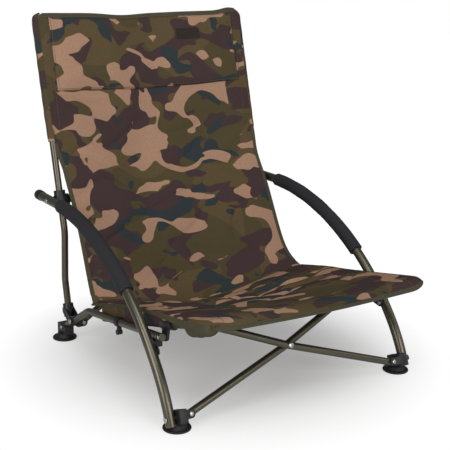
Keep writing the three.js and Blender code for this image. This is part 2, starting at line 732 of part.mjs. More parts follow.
  // Seat rail with its rear plug, corner hub and pocket
  const railAt = (y) => V(X(railPlane), y, railZAt(y));
  const railDir = V(0, -1, -railSlope).normalize();
  piece(name('seat_rail'), tube([railAt(railRearY), railAt(railFrontY)], frameRadius), bronze);
  const railPlug = railAt(railRearY).addScaledVector(railDir, -gap);
  piece(name('rail_end_plug'), rod(frameRadius, railPlug.clone().addScaledVector(railDir, -plugDepth),
    railPlug, tubeSides), steel);
  const sleeveAt = (share) => railAt(cornerSleeveY).addScaledVector(railDir, share * cornerSleeveLength);
  const cheekOut = tubeInner - gap;
  const cornerPinInner = cornerCheekX - gap;
  piece(name('corner_hub'), shaped([
    rod(cornerSleeveRadius, sleeveAt(-0.5), sleeveAt(0.5), discSides),
    rod(cornerBossRadius, V(X(cornerBossX), hubPointY, hubPointZ), V(X(railPlane), hubPointY, hubPointZ), discSides),
    sidePlate(hull([cornerSleeveY, railZAt(cornerSleeveY)], cornerCheekRadius,
      [sideLegPinY, sideLegPinZ], cornerCheekRadius), side, cornerCheekX, cheekOut),
  ], [
    rod(frameRadius + gap, sleeveAt(-1), sleeveAt(1), tubeSides),
    hole(side, sideLegPinY, sideLegPinZ, pinRadius, cornerCheekX - overrun, cheekOut + overrun),
  ]), plastic);
  piece(name('corner_hub_pin'), crossPin(side, sideLegPinY, sideLegPinZ, pinRadius,
    cornerPinInner, tubeOuter + gap, true, true, headRadius), steel);
  const pocketFront = railAt(railFrontY).addScaledVector(railDir, pocketEnd);
  const pocketRear = pocketFront.clone().addScaledVector(railDir, -pocketLength);
  const under = clothHalf + gap;
  const clearRear = pocketRear.y + pocketLength;
  const clearFront = pocketFront.y - pocketLength;
  const clearTop = seatFrontZ + pocketLength;
  piece(name('seat_pocket'), shaped([
    rod(pocketBore + pocketWall, pocketRear, pocketFront, tubeSides),
  ], [
    rod(pocketBore, pocketRear.clone().addScaledVector(railDir, -overrun),
      railAt(railFrontY).addScaledVector(railDir, gap), tubeSides),
    sidePlate([
      [clearFront, seatEdgeZ(clearFront) - under - sink], [clearRear, seatEdgeZ(clearRear) - under - sink],
      [clearRear, clearTop], [clearFront, clearTop],
    ].map(([y, z]) => new THREE.Vector2(y, z)), side, railPlane - 2 * (pocketBore + pocketWall),
    railPlane + 2 * (pocketBore + pocketWall)),
  ]), olive);

  // Bracket on the leg, a plate with a ledge under the side tube
  const plateInner = armInner - gap - bracketWall;
  const ledgeTop = (y) => sideLegZAt(y) - (frameRadius + gap) * Math.hypot(1, highSlope);
  piece(name('leg_bracket'), shaped([
    sidePlate(hull([rivetY, bracketRivetZ], bracketRadius,
      [ledgeRearY - bracketRadius, ledgeTop(ledgeRearY) - ledgeDrop / 2], ledgeDrop / 2),
    side, plateInner, armInner - gap),
    sidePlate([
      [ledgeFrontY, ledgeTop(ledgeFrontY) - ledgeDrop], [ledgeRearY, ledgeTop(ledgeRearY) - ledgeDrop],
      [ledgeRearY, ledgeTop(ledgeRearY)], [ledgeFrontY, ledgeTop(ledgeFrontY)],
    ].map(([y, z]) => new THREE.Vector2(y, z)), side, tubeInner + gap, armInner - gap),
  ], [
    hole(side, rivetY, bracketRivetZ, rivetRadius, plateInner - overrun, armInner),
  ]), plastic);
  piece(name('leg_bracket_rivet'), crossPin(side, rivetY, bracketRivetZ, rivetRadius,
    plateInner - gap, legPlane - gap, true, false, rivetHeadRadius), steel);

  // Front foot with ears that hold the cross tube's lower end
  const earN = side * crossOffset;
  const earNear = frameRadius + pinGap;
  const earFar = earNear + earWall;
  const blockOuter = armInner - gap;
  const earOutline = hull([X(frontPivotX), 0], earRadius, [X(earBlockX), 0], earRadius);
  const ear = (low, high) => prism(earOutline, low, high, V(0, frontPivotY, frontPivotZ), V(1, 0, 0), frontW);
  const frontPinInner = earBlockX + earRadius;
  const blockOutline = [
    [-earBlockReach, -earBlockDepth], [earBlockReach, -earBlockDepth],
    [earBlockReach, earBlockDepth], [-earBlockReach, earBlockDepth],
  ].map(([w, n]) => new THREE.Vector2(w, n));
  const blockXs = [X(earBlockX), X(blockOuter)].sort((p, q) => p - q);
  piece(name('front_foot'), shaped([
    disc(X(frontFootX), 0),
    block([X(earBlockX), X(blockOuter)], [-pedestalHalf, pedestalHalf], [footThick - sink, pedestalTop]),
    prism(blockOutline, blockXs[0], blockXs[1], V(0, frontPivotY, frontPivotZ), frontW, frontN),
    ear(earN + earNear, earN + earFar),
    ear(earN - earFar, earN - earNear),
  ], [
    rod(pinRadius + pinGap, frontPoint(X(frontPivotX), 0, earN - earFar - overrun),
      frontPoint(X(frontPivotX), 0, earN + earFar + overrun)),
    hole(side, frontPivotY, frontPivotZ, pinRadius, frontPinInner, armInner),
  ]), plastic);
  piece(name('front_foot_pin'), crossPin(side, frontPivotY, frontPivotZ, pinRadius,
    frontPinInner + gap, armOuter + gap, false, true, headRadius), steel);
  const earPin = (n) => frontPoint(X(frontPivotX), 0, earN + n);
  piece(name('front_cross_pin'), shaped([
    rod(pinRadius, earPin(-earFar - gap - headThick), earPin(earFar + gap + headThick)),
    rod(rivetHeadRadius, earPin(-earFar - gap - headThick), earPin(-earFar - gap)),
    rod(rivetHeadRadius, earPin(earFar + gap), earPin(earFar + gap + headThick)),
  ]), steel);

  // Rear clevis on the collar and its pin
  const clevisN = -side * crossOffset;
  const clevisFar = earNear + clevisWall;
  const clevisOutline = hull([X(rearPivotX), 0], clevisRadius, [X(clevisBlockX), 0], clevisRadius);
  const wing = (low, high) => shaped([
    prism(clevisOutline, low, high, V(0, rearPivotY, rearPivotZ), V(1, 0, 0), rearW),
  ], [
    prism([[clevisBlockEnd, -clevisBlockX], [clevisBlockEnd + clevisRadius * 2, -clevisBlockX],
      [clevisBlockEnd + clevisRadius * 2, clevisBlockX], [clevisBlockEnd, clevisBlockX],
    ].map(([x, w]) => new THREE.Vector2(X(x), w)), low - overrun, high + overrun,
    V(0, rearPivotY, rearPivotZ), V(1, 0, 0), rearW),
  ]);
  const clevisXs = [X(clevisBlockX), X(clevisBlockEnd)].sort((p, q) => p - q);
  const clevisBlock = [
    [-clevisRadius, clevisN - clevisFar], [clevisRadius, clevisN - clevisFar],
    [clevisRadius, clevisN + clevisFar], [-clevisRadius, clevisN + clevisFar],
  ].map(([w, n]) => new THREE.Vector2(w, n));
  piece(name('rear_clevis'), shaped([
    prism(clevisBlock, clevisXs[0], clevisXs[1], V(0, rearPivotY, rearPivotZ), rearW, rearN),
    wing(clevisN + earNear, clevisN + clevisFar),
    wing(clevisN - clevisFar, clevisN - earNear),
    rod(clevisStubRadius, V(X(clevisBlockX + sink), rearPivotY, rearPivotZ), V(X(collarInner), rearPivotY, rearPivotZ)),
  ], [
    rod(pinRadius + pinGap, rearPoint(X(rearPivotX), 0, clevisN - clevisFar - overrun),
      rearPoint(X(rearPivotX), 0, clevisN + clevisFar + overrun)),
  ]), plastic);
  const clevisPin = (n) => rearPoint(X(rearPivotX), 0, clevisN + n);
  piece(name('rear_cross_pin'), shaped([
    rod(pinRadius, clevisPin(-clevisFar - gap - headThick), clevisPin(clevisFar + gap + headThick)),
    rod(rivetHeadRadius, clevisPin(-clevisFar - gap - headThick), clevisPin(-clevisFar - gap)),
    rod(rivetHeadRadius, clevisPin(clevisFar + gap), clevisPin(clevisFar + gap + headThick)),
  ]), steel);
}

buildSide('left', -1);
buildSide('right', 1);
frontCross('front_cross_tube_a', -1);
frontCross('front_cross_tube_b', 1);
crossRivet('front_cross_rivet', frontPoint, crossingHeight);
rearCross('rear_cross_tube_a', -1);
rearCross('rear_cross_tube_b', 1);
crossRivet('rear_cross_rivet', rearPoint, rearRise(0));

const flat = () => [clothHalf, clothHalf];
piece('seat_sling', slab(seatRows, seatColumns, seatSurface, flat), cloth);
const backPanel = slab(backRows, backColumns, backSurface, flat);
const uprightClear = [-1, 1].map((side) => rod(frameRadius + gap, V(side * uprightPlane, uprightBackY, uprightBackZ),
  V(side * uprightPlane, uprightYAt(uprightTopZ + plugDepth * 2), uprightTopZ + plugDepth * 2), tubeSides));
piece('back_sling', shaped([backPanel, cSleeve(-1), cSleeve(1)], uprightClear), cloth);
piece('headrest_panel', slab(headRows, headColumns, headSurface, headHalf), cloth);

// The origin: on the floor, under the middle of the whole chair
const box = new THREE.Box3().setFromObject(chair);
const originY = (box.min.y + box.max.y) / 2;
for (const mesh of chair.children) mesh.geometry.translate(0, -originY, 0);

export default chair;
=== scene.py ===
"""Low folding carp chair in camouflage cloth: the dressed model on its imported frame."""

import math

import bmesh
import bpy
from mathutils import Matrix, Vector, noise


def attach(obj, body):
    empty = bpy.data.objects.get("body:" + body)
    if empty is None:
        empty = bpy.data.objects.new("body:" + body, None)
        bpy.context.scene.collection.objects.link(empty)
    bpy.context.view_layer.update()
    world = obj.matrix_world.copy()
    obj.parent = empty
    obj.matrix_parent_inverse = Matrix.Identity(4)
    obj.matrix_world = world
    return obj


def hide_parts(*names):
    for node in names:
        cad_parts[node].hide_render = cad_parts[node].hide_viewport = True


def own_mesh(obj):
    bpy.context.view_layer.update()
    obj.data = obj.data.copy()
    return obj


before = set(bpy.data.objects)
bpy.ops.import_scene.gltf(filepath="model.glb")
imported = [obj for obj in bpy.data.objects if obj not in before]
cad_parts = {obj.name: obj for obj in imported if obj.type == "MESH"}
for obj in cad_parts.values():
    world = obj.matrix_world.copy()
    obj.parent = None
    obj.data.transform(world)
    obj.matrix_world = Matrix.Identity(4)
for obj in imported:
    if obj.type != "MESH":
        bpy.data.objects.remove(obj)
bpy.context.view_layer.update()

# The camera and the studio: a long lens 0.9 m above the ground, a pale floor
# that runs into white, and soft lamps overhead, in front and on both sides.
MM = 0.001
ORIGIN_Y = 297.392
CAMERA_AT = (-1172.6, -1553.6, 904.4)
CAMERA_YAW, CAMERA_DIP, CAMERA_ROLL = (math.radians(a) for a in (32.54, 15.19, 1.0))
LENS, SENSOR, FAR_CLIP = 79.19, 36, 50
WHITE, SKY_STRENGTH = (1, 1, 1, 1), 0.2
FLOOR_HALF, PAPER_GREY, PAPER_GLOW = 8, (0.9, 0.9, 0.9, 1), 1.05
SHADE_FADE = {"From Min": 0.19, "From Max": 0.62, "To Min": 0.22, "To Max": 1.0}


def at(x, y, z):
    """A point of the chair, measured in millimetres from the front feet's line."""
    return Vector((x, y - ORIGIN_Y, z)) * MM


view = bpy.context.scene.view_settings
view.view_transform = "Standard"
camera_data = bpy.data.cameras.new("photo_camera")
camera_data.lens = LENS
camera_data.sensor_width = SENSOR
camera_data.clip_end = FAR_CLIP
camera = bpy.data.objects.new("photo_camera", camera_data)
bpy.context.scene.collection.objects.link(camera)
ahead = math.cos(CAMERA_DIP)
look = Vector((math.sin(CAMERA_YAW) * ahead, math.cos(CAMERA_YAW) * ahead, -math.sin(CAMERA_DIP)))
level_right = look.cross(Vector((0, 0, 1))).normalized()
level_up = level_right.cross(look)
right = level_right * math.cos(CAMERA_ROLL) + level_up * math.sin(CAMERA_ROLL)
turn = Matrix((right, right.cross(look), -look)).transposed().to_4x4()
camera.matrix_world = Matrix.Translation(at(*CAMERA_AT)) @ turn
bpy.context.scene.camera = camera

LAMPS = (
    ("overhead", (-0.5, -1.3, 2.7), (0, 0, 0.3), (1.8, 1.4), 21),
    ("front", (0.3, -3.1, 1.25), (0, 0, 0.35), (2.2, 1.0), 28),
    ("left_side", (-2.8, -1.2, 1.6), (0, 0, 0.35), (1.6, 2.0), 42),
    ("right_side", (2.6, -1.8, 1.8), (0, 0, 0.3), (0.8, 2.0), 9),
)
for name, place, aim, size, power in LAMPS:
    lamp = bpy.data.lights.new(name, "AREA")
    lamp.shape = "RECTANGLE"
    lamp.size, lamp.size_y = size
    lamp.energy = power
    holder = bpy.data.objects.new(name, lamp)
    holder.location = place
    holder.rotation_euler = (Vector(aim) - Vector(place)).to_track_quat("-Z", "Y").to_euler()
    bpy.context.scene.collection.objects.link(holder)


def fill_inputs(tree, node, inputs):
    """Set or link a node's inputs, named or numbered."""
    for label, value in inputs.items():
        socket = node.inputs[label]
        if isinstance(value, bpy.types.NodeSocket):
            tree.links.new(value, socket)
        else:
            socket.default_value = value
    return node


def tree_node(tree, kind, inputs=None, **settings):
    """A new node of a tree with its settings and inputs."""
    node = tree.nodes.new(kind)
    for label, value in settings.items():
        setattr(node, label, value)
    return fill_inputs(tree, node, inputs or {})


def tree_math(tree, operation, *values):
    """The output of a new maths node on values or sockets."""
    inputs = dict(enumerate(values))
    return tree_node(tree, "ShaderNodeMath", inputs, operation=operation).outputs[0]


world = bpy.data.worlds.new("studio_white")
bpy.context.scene.world = world
world.use_nodes = True
air = world.node_tree
air.nodes.clear()
air_light, air_white = (
    tree_node(air, "ShaderNodeBackground", {"Color": WHITE, "Strength": strength}).outputs[0]
    for strength in (SKY_STRENGTH, 1.0)
)
air_seen = tree_node(air, "ShaderNodeLightPath").outputs["Is Camera Ray"]
air_mix = tree_node(air, "ShaderNodeMixShader", {0: air_seen, 1: air_light, 2: air_white})
tree_node(air, "ShaderNodeOutputWorld", {"Surface": air_mix.outputs[0]})

floor_mesh = bpy.data.meshes.new("studio_floor")
floor_corners = ((-1, -1), (1, -1), (1, 1), (-1, 1))
floor_points = [(x * FLOOR_HALF, y * FLOOR_HALF, 0) for x, y in floor_corners]
floor_mesh.from_pydata(floor_points, [], [(0, 1, 2, 3)])
studio_floor = bpy.data.objects.new("studio_floor", floor_mesh)
bpy.context.scene.collection.objects.link(studio_floor)


def plain_material(name):
    """A new material with its node tree."""
    material = bpy.data.materials.new(name)
    material.use_nodes = True
    return material, material.node_tree


paper, paper_tree = plain_material("studio_paper")
paper_shade = fill_inputs(paper_tree, paper_tree.nodes["Principled BSDF"], {
    "Base Color": PAPER_GREY, "Roughness": 0.9, "Specular IOR Level": 0.1,
})
paper_spot = tree_node(paper_tree, "ShaderNodeTexCoord").outputs["Object"]
paper_far = tree_node(paper_tree, "ShaderNodeVectorMath", {0: paper_spot}, operation="LENGTH")
paper_fade = tree_node(
    paper_tree, "ShaderNodeMapRange", {"Value": paper_far.outputs["Value"], **SHADE_FADE},
    interpolation_type="SMOOTHSTEP",
)
paper_seen = tree_node(paper_tree, "ShaderNodeLightPath").outputs["Is Camera Ray"]
paper_glow = tree_node(paper_tree, "ShaderNodeEmission", {"Strength": PAPER_GLOW})
paper_mix = tree_node(paper_tree, "ShaderNodeMixShader", {
    0: tree_math(paper_tree, "MULTIPLY", paper_seen, paper_fade.outputs["Result"]),
    1: paper_shade.outputs[0],
    2: paper_glow.outputs[0],
})
fill_inputs(paper_tree, paper_tree.nodes["Material Output"], {"Surface": paper_mix.outputs[0]})
floor_mesh.materials.append(paper)

# The bent frame tubes: 22 mm arms and 16 mm frame tubes of steel, bent cold,
# sprayed with a satin olive-bronze coat and cut square at their ends.
SIDES = (("left", -1), ("right", 1))
X_AXIS, Y_AXIS, Z_AXIS = Vector((1, 0, 0)), Vector((0, 1, 0)), Vector((0, 0, 1))
ARM_X, ARM_R = 304, 11
UPRIGHT_X, RAIL_X, TUBE_R = 279, 262, 8
TUBE_SIDES, TUBE_EDGE = 40, 0.6
LEG_START, LEG_SLOPES, LEG_BENDS, LEG_TAIL = (-8.6, 11.1), (69.4, 52.7, 0), (374, 601), 118
LEG_STEP = 1.2
FRONT_PIVOT, HUB_POINT, REAR_PIVOT, HUB_Z = (-5, 27), (72, 200), (536, 44), 342
CORNER, COLLAR = (80, 165), (508, 59)
UPRIGHT_LINE, UPRIGHT_BEND = ((538, 68), (557, 150), (551, 268), (686, 752)), 80
SIDE_LEG_LINE, SIDE_LEG_BEND, SIDE_LEG_PAST = ((572, 20), (425, 110), CORNER), 60, 9
RAIL_REAR, RAIL_NOSE = (340, 117), (-72, 233)
CROSS_STEP, CROSS_BEND, CROSS_BEND_STEP, FRONT_CROSSING = 8.3, 260, 0.5, 87.6
FRONT_FOOT_X, FRONT_TOP_X, FRONT_PAST_FOOT, FRONT_PAST_TOP = 258, 243, 10, 2.9
REAR_FOOT_X, REAR_TOP_X, REAR_PAST_FOOT = 250, 253.3, 7
PATCH_EDGES = {"From Min": 0.35, "From Max": 0.65}


def srgb(red, green, blue):
    """A colour as a painter reads it off a chart, 0 to 255, for a shader."""
    shares = (red / 255, green / 255, blue / 255)
    return (*(((c + 0.055) / 1.055) ** 2.4 if c > 0.04 else c / 12.92 for c in shares), 1)


def effect_group(name, inputs, outputs):
    """An empty shader group: a Vector input, number inputs with values, number outputs."""
    group = bpy.data.node_groups.new(name, "ShaderNodeTree")
    group.interface.new_socket("Vector", in_out="INPUT", socket_type="NodeSocketVector")
    for label, value in inputs.items():
        socket = group.interface.new_socket(label, in_out="INPUT", socket_type="NodeSocketFloat")
        socket.default_value = value
    for label in outputs:
        group.interface.new_socket(label, in_out="OUTPUT", socket_type="NodeSocketFloat")
    return group, group.nodes.new("NodeGroupInput").outputs, group.nodes.new("NodeGroupOutput")


grain, given, grain_out = effect_group(
    "surface_grain",
    {"Scale": 400.0, "Patch Scale": 9.0, "Low": 0.3, "High": 0.5},
    ("Height", "Roughness", "Patch"),
)
grain_fine, grain_patch = (
    tree_node(grain, "ShaderNodeTexNoise", {
        "Vector": given["Vector"], "Scale": given[scale], "Detail": detail,
    }).outputs["Fac"]
    for scale, detail in (("Scale", 3), ("Patch Scale", 5))
)
grain_rough = tree_node(grain, "ShaderNodeMapRange", {
    "Value": grain_patch, **PATCH_EDGES, "To Min": given["Low"], "To Max": given["High"],
}).outputs["Result"]
fill_inputs(grain, grain_out, {
    "Height": grain_fine, "Roughness": grain_rough, "Patch": grain_patch,
})


def grained_material(
    name, dark, light, metallic, rough, scale, bump, specular=0.5, coat=0.0, distance=0.0002
):
    """A plain finish with fine grain, patchy roughness and a slight drift in colour."""
    material, tree = plain_material(name)
    effect = tree_node(tree, "ShaderNodeGroup", {
        "Vector": tree_node(tree, "ShaderNodeTexCoord").outputs["Object"],
        "Scale": scale, "Low": rough[0], "High": rough[1],
    }, node_tree=grain).outputs
    tint = tree_node(tree, "ShaderNodeMix", {
        "Factor": effect["Patch"], "A": dark, "B": light,
    }, data_type="RGBA")
    rise = tree_node(tree, "ShaderNodeBump", {
        "Strength": bump, "Distance": distance, "Height": effect["Height"],
    })
    fill_inputs(tree, tree.nodes["Principled BSDF"], {
        "Base Color": tint.outputs["Result"], "Roughness": effect["Roughness"],
        "Normal": rise.outputs["Normal"], "Metallic": metallic,
        "Specular IOR Level": specular, "Coat Weight": coat, "Coat Roughness": 0.25,
    })
    return material


bronze_coat = grained_material(
    "olive_bronze_coat", srgb(88, 84, 71), srgb(107, 102, 88), 0.85, (0.26, 0.36), 900, 0.1,
    coat=0.12,
)


def place_piece(mesh, name, material, body, node=None, angle=35):
    """A finished mesh becomes a piece that rides its body and stands for its node."""
    mesh.name = name
    mesh.materials.clear()
    mesh.materials.append(material)
    mesh.shade_smooth()
    mesh.set_sharp_from_angle(angle=math.radians(angle))
    piece = bpy.data.objects.new(name, mesh)
    bpy.context.scene.collection.objects.link(piece)
    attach(piece, body)
    if node:
        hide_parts(*([node] if isinstance(node, str) else node))
    return piece


def closed_mesh(points, faces):
    """A mesh of a closed shell, its faces turned outwards."""
    mesh = bpy.data.meshes.new("shell")
    mesh.from_pydata(points, [], faces)
    shell = bmesh.new()
    shell.from_mesh(mesh)
    bmesh.ops.recalc_face_normals(shell, faces=shell.faces)
    shell.to_mesh(mesh)
    shell.free()
    return mesh


def ring_mesh(rings, looped=False):
    """A closed mesh through rings of equal count, capped at its ends or looped back."""
    count, last = len(rings[0]), len(rings) - 1
    faces = []
    for i in range(len(rings) if looped else last):
        below, above = i * count, (i + 1) % len(rings) * count
        for k in range(count):
            after = (k + 1) % count
            faces.append((below + k, below + after, above + after, above + k))
    if not looped:
        faces.append(tuple(range(count - 1, -1, -1)))
        faces.append(tuple(range(last * count, len(rings) * count)))
    return closed_mesh([point for ring in rings for point in ring], faces)


def circle_ring(centre, side, over, radius, sides):
    turns = (2 * math.pi * k / sides for k in range(sides))
    return [centre + (side * math.cos(a) + over * math.sin(a)) * radius for a in turns]


def heading(line, i):
    """The direction of a line at its point number i."""
    return (line[min(i + 1, len(line) - 1)] - line[max(i - 1, 0)]).normalized()


def tube_mesh(line, normal, radius):
    """A round tube along a flat line, its end edges eased; normal is square to the plane."""
    radius, edge = radius * MM, TUBE_EDGE * MM
    rings = []
    for i, point in enumerate(line):
        along = heading(line, i)
        over = along.cross(normal).normalized()
        stations = [(0, radius)]
        if i == 0:
            stations = [(0, radius - edge), (edge, radius)]
        elif i == len(line) - 1:
            stations = [(-edge, radius), (0, radius - edge)]
        rings += [
            circle_ring(point + along * on, normal, over, r, TUBE_SIDES) for on, r in stations
        ]
    return ring_mesh(rings)


def bent_line(corners, bend, step=2.0):
    """Straight runs with a round bend at each corner."""
    line = [corners[0]]
    for before, corner, after in zip(corners, corners[1:], corners[2:]):
        into, away = (corner - before).normalized(), (after - corner).normalized()
        sweep = into.angle(away)
        start = corner - into * (bend * MM * math.tan(sweep / 2))
        side = (away - into * away.dot(into)).normalized()
        count = max(3, math.ceil(math.degrees(sweep) / step))
        for k in range(count + 1):
            angle = sweep * k / count
            forward, aside = bend * MM * math.sin(angle), bend * MM * (1 - math.cos(angle))
            line.append(start + into * forward + side * aside)
    line.append(corners[-1])
    return line


def arm_line():
    """The leg and arm's centre line as y and z: two arcs and a straight tail."""
    y, z = LEG_START
    slope = math.radians(LEG_SLOPES[0])
    points = [(y, z)]
    for bend, end in zip(LEG_BENDS, LEG_SLOPES[1:]):
        count = math.ceil((math.degrees(slope) - end) / LEG_STEP)
        change = (slope - math.radians(end)) / count
        for _ in range(count):
            after = slope - change
            y += bend * (math.sin(slope) - math.sin(after))
            z += bend * (math.cos(after) - math.cos(slope))
            slope = after
            points.append((y, z))
    return points + [(y + LEG_TAIL, z)]


def between(spot, start, end):
    """The second measure of the line through two places, where its first is spot."""
    return start[1] + (spot - start[0]) * (end[1] - start[1]) / (end[0] - start[0])


ARM = arm_line()
ARM_Z = ARM[-1][1]
BACK_FOOT, BACK_TIP = UPRIGHT_LINE[2:]
BACK_RUN, BACK_RISE = BACK_TIP[0] - BACK_FOOT[0], BACK_TIP[1] - BACK_FOOT[1]
SLIDE = Vector((0, BACK_RUN, BACK_RISE)).normalized()


def upright_y(z):
    return between(z, BACK_FOOT[::-1], BACK_TIP[::-1])


def rail_z(y):
    return between(y, RAIL_REAR, RAIL_NOSE)


def lay_tube(line, normal, radius, name, body, node):
    tube = tube_mesh(line, normal, radius)
    place_piece(tube, f"{name}_tube", bronze_coat, body, node)


for word, side in SIDES:
    arm, upright, side_leg, rail = (
        [at(side * x, y, z) for y, z in spots]
        for x, spots in (
            (ARM_X, ARM), (UPRIGHT_X, UPRIGHT_LINE), (UPRIGHT_X, SIDE_LEG_LINE),
            (RAIL_X, (RAIL_REAR, RAIL_NOSE)),
        )
    )
    side_leg[2] = side_leg[2] + (side_leg[2] - side_leg[1]).normalized() * SIDE_LEG_PAST * MM
    for line, radius, name, body, node in (
        (arm, ARM_R, "leg_and_arm", "arm", "front_leg_arm"),
        (bent_line(upright, UPRIGHT_BEND), TUBE_R, "upright", "back_frame", "back_upright"),
        (bent_line(side_leg, SIDE_LEG_BEND), TUBE_R, "side", "side_leg", "rear_leg"),
        (rail, TUBE_R, "rail", "seat_frame", "seat_rail"),
    ):
        lay_tube(line, X_AXIS, radius, f"{word}_{name}", f"{word}_{body}", f"{word}_{node}")


def lean_axes(start, end):
    """Directions in the side view: along the line from start to end, and square to it."""
    lean = math.atan2(end[0] - start[0], end[1] - start[1])
    run, rise = math.sin(lean), math.cos(lean)
    return Vector((0, run, rise)), Vector((0, -rise, run))


HUB_Y = upright_y(HUB_Z)
FRONT_W, FRONT_N = lean_axes(FRONT_PIVOT, HUB_POINT)
REAR_W, REAR_N = lean_axes(REAR_PIVOT, (HUB_Y, HUB_Z))
HUB_HEIGHT = math.dist(HUB_POINT, FRONT_PIVOT)
REAR_HEIGHT = math.dist((HUB_Y, HUB_Z), REAR_PIVOT)
REAR_TOP = REAR_HEIGHT * (REAR_FOOT_X + REAR_TOP_X) / (2 * REAR_FOOT_X)


def front_point(x, w, n):
    return at(x, *FRONT_PIVOT) + (FRONT_W * w + FRONT_N * n) * MM


def rear_point(x, w, n):
    return at(x, *REAR_PIVOT) + (REAR_W * w + REAR_N * n) * MM


def past(end, before, reach):
    """A place beyond a line's end, so many millimetres on."""
    return end + (end - before).normalized() * reach * MM


for letter, side in (("a", -1), ("b", 1)):
    step = side * CROSS_STEP
    foot = front_point(side * FRONT_FOOT_X, 0, step)
    middle = front_point(0, FRONT_CROSSING, step)
    top = front_point(-side * FRONT_TOP_X, HUB_HEIGHT, step)
    ends = past(foot, middle, FRONT_PAST_FOOT), past(top, middle, FRONT_PAST_TOP)
    front = bent_line([ends[0], middle, ends[1]], CROSS_BEND, CROSS_BEND_STEP)
    foot = rear_point(side * REAR_FOOT_X, 0, -step)
    top = rear_point(-side * REAR_TOP_X, REAR_TOP, -step)
    rear = [past(foot, top, REAR_PAST_FOOT), top]
    for line, normal, place in ((front, FRONT_N, "front"), (rear, REAR_N, "rear")):
        name = f"{place}_cross_{letter}"
        lay_tube(line, normal, TUBE_R, name, name, f"{place}_cross_tube_{letter}")

# The arm grips: sleeves of black closed-cell foam, 32 mm across, pushed on to
# the arms. Their skin is matt and finely pored, and their ends are cut square.
FOAM_R, FOAM_BORE, FOAM_FROM, FOAM_TO, FOAM_PARTS = 16, 11.3, 172, 512, 3
FOAM_END = ((FOAM_BORE, 0.0), (FOAM_R - 1.6, 0.0), (FOAM_R - 0.4, 0.5), (FOAM_R, 1.6))


def wrinkle(x, y, z):
    """Smooth repeatable unevenness between -1 and 1."""
    return noise.noise(Vector((x, y, z)))


foam_skin = grained_material(
    "black_foam", srgb(38, 38, 41), srgb(52, 52, 56), 0.0, (0.78, 0.95), 1500, 0.5,
    specular=0.25, distance=0.0006,
)
for word, side in SIDES:
    bare = [at(side * ARM_X, y, z) for y, z in ARM if FOAM_FROM < y < FOAM_TO]
    line = [
        a + (b - a) * k / FOAM_PARTS for a, b in zip(bare, bare[1:]) for k in range(FOAM_PARTS)
    ] + [bare[-1]]
    rings, inner = [], []
    for i, point in enumerate(line):
        along = heading(line, i)
        over = along.cross(X_AXIS)
        swell = 0.5 * wrinkle(i * 0.11, side, 2.0) + 0.35 * wrinkle(i * 0.45, side, 5.0)
        stations = [(FOAM_R + swell, 0)]
        if i == 0:
            stations = FOAM_END
        elif i == len(line) - 1:
            stations = [(r, -back) for r, back in reversed(FOAM_END)]
        rings += [
            circle_ring(point + along * back * MM, X_AXIS, over, r * MM, TUBE_SIDES)
            for r, back in stations
        ]
        inner.append(circle_ring(point, X_AXIS, over, FOAM_BORE * MM, TUBE_SIDES))
    grip = ring_mesh(rings + inner[::-1][1:-1], looped=True)
    foam = place_piece(
        grip, f"{word}_foam_grip", foam_skin, f"{word}_arm", f"{word}_arm_foam", 50
    )

# The mouldings: hubs, collars, brackets, clips and caps in black glass-filled
# nylon, with eased edges and the fine spark-eroded grain of their moulds.
BEVEL_ANGLE, FLAT_ANGLE, JOIN_WITHIN = math.radians(30), math.radians(0.5), 1e-6
black_nylon = grained_material(
    "black_nylon", srgb(23, 23, 24), srgb(33, 33, 35), 0.0, (0.36, 0.52), 2200, 0.25
)


def changed(mesh, kind, settings, inputs=None):
    """The mesh that one modifier makes of a mesh, the modifier left behind."""
    holder = bpy.data.objects.new("holder", mesh)
    bpy.context.scene.collection.objects.link(holder)
    modifier = holder.modifiers.new("change", kind)
    for label, value in settings.items():
        setattr(modifier, label, value)
    for label, value in (inputs or {}).items():
        modifier[label] = value
    holder.update_tag()
    bpy.context.view_layer.update()
    shown = holder.evaluated_get(bpy.context.evaluated_depsgraph_get())
    result = bpy.data.meshes.new_from_object(shown)
    bpy.data.objects.remove(holder)
    return result


def eased_copy(node, width):
    """The node's own shape as a moulding: its flats joined and its edges rounded."""
    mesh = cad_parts[node].data.copy()
    body = bmesh.new()
    body.from_mesh(mesh)
    bmesh.ops.remove_doubles(body, verts=body.verts, dist=JOIN_WITHIN)
    bmesh.ops.dissolve_limit(body, angle_limit=FLAT_ANGLE, verts=body.verts, edges=body.edges)
    body.to_mesh(mesh)
    body.free()
    return changed(mesh, "BEVEL", {
        "width": width * MM, "segments": 2, "limit_method": "ANGLE", "angle_limit": BEVEL_ANGLE,
    })


MOULDINGS = (
    ("arm_hub", "hub", 0.8), ("upright_collar", "back_frame", 0.6),
    ("corner_hub", "seat_frame", 0.7), ("rear_clevis", "clevis", 0.5),
    ("leg_bracket", "arm", 0.6), ("rail_clip", "side_leg", 0.5),
    ("arm_end_cap", "arm", 1.2), ("upright_end_cap", "back_frame", 1.5),
)
for word, side in SIDES:
    for part, body, width in MOULDINGS:
        node = f"{word}_{part}"
        shape = eased_copy(node, width)
        place_piece(
            shape, f"{node}_moulding", black_nylon, f"{word}_{body}", node, 30
        )

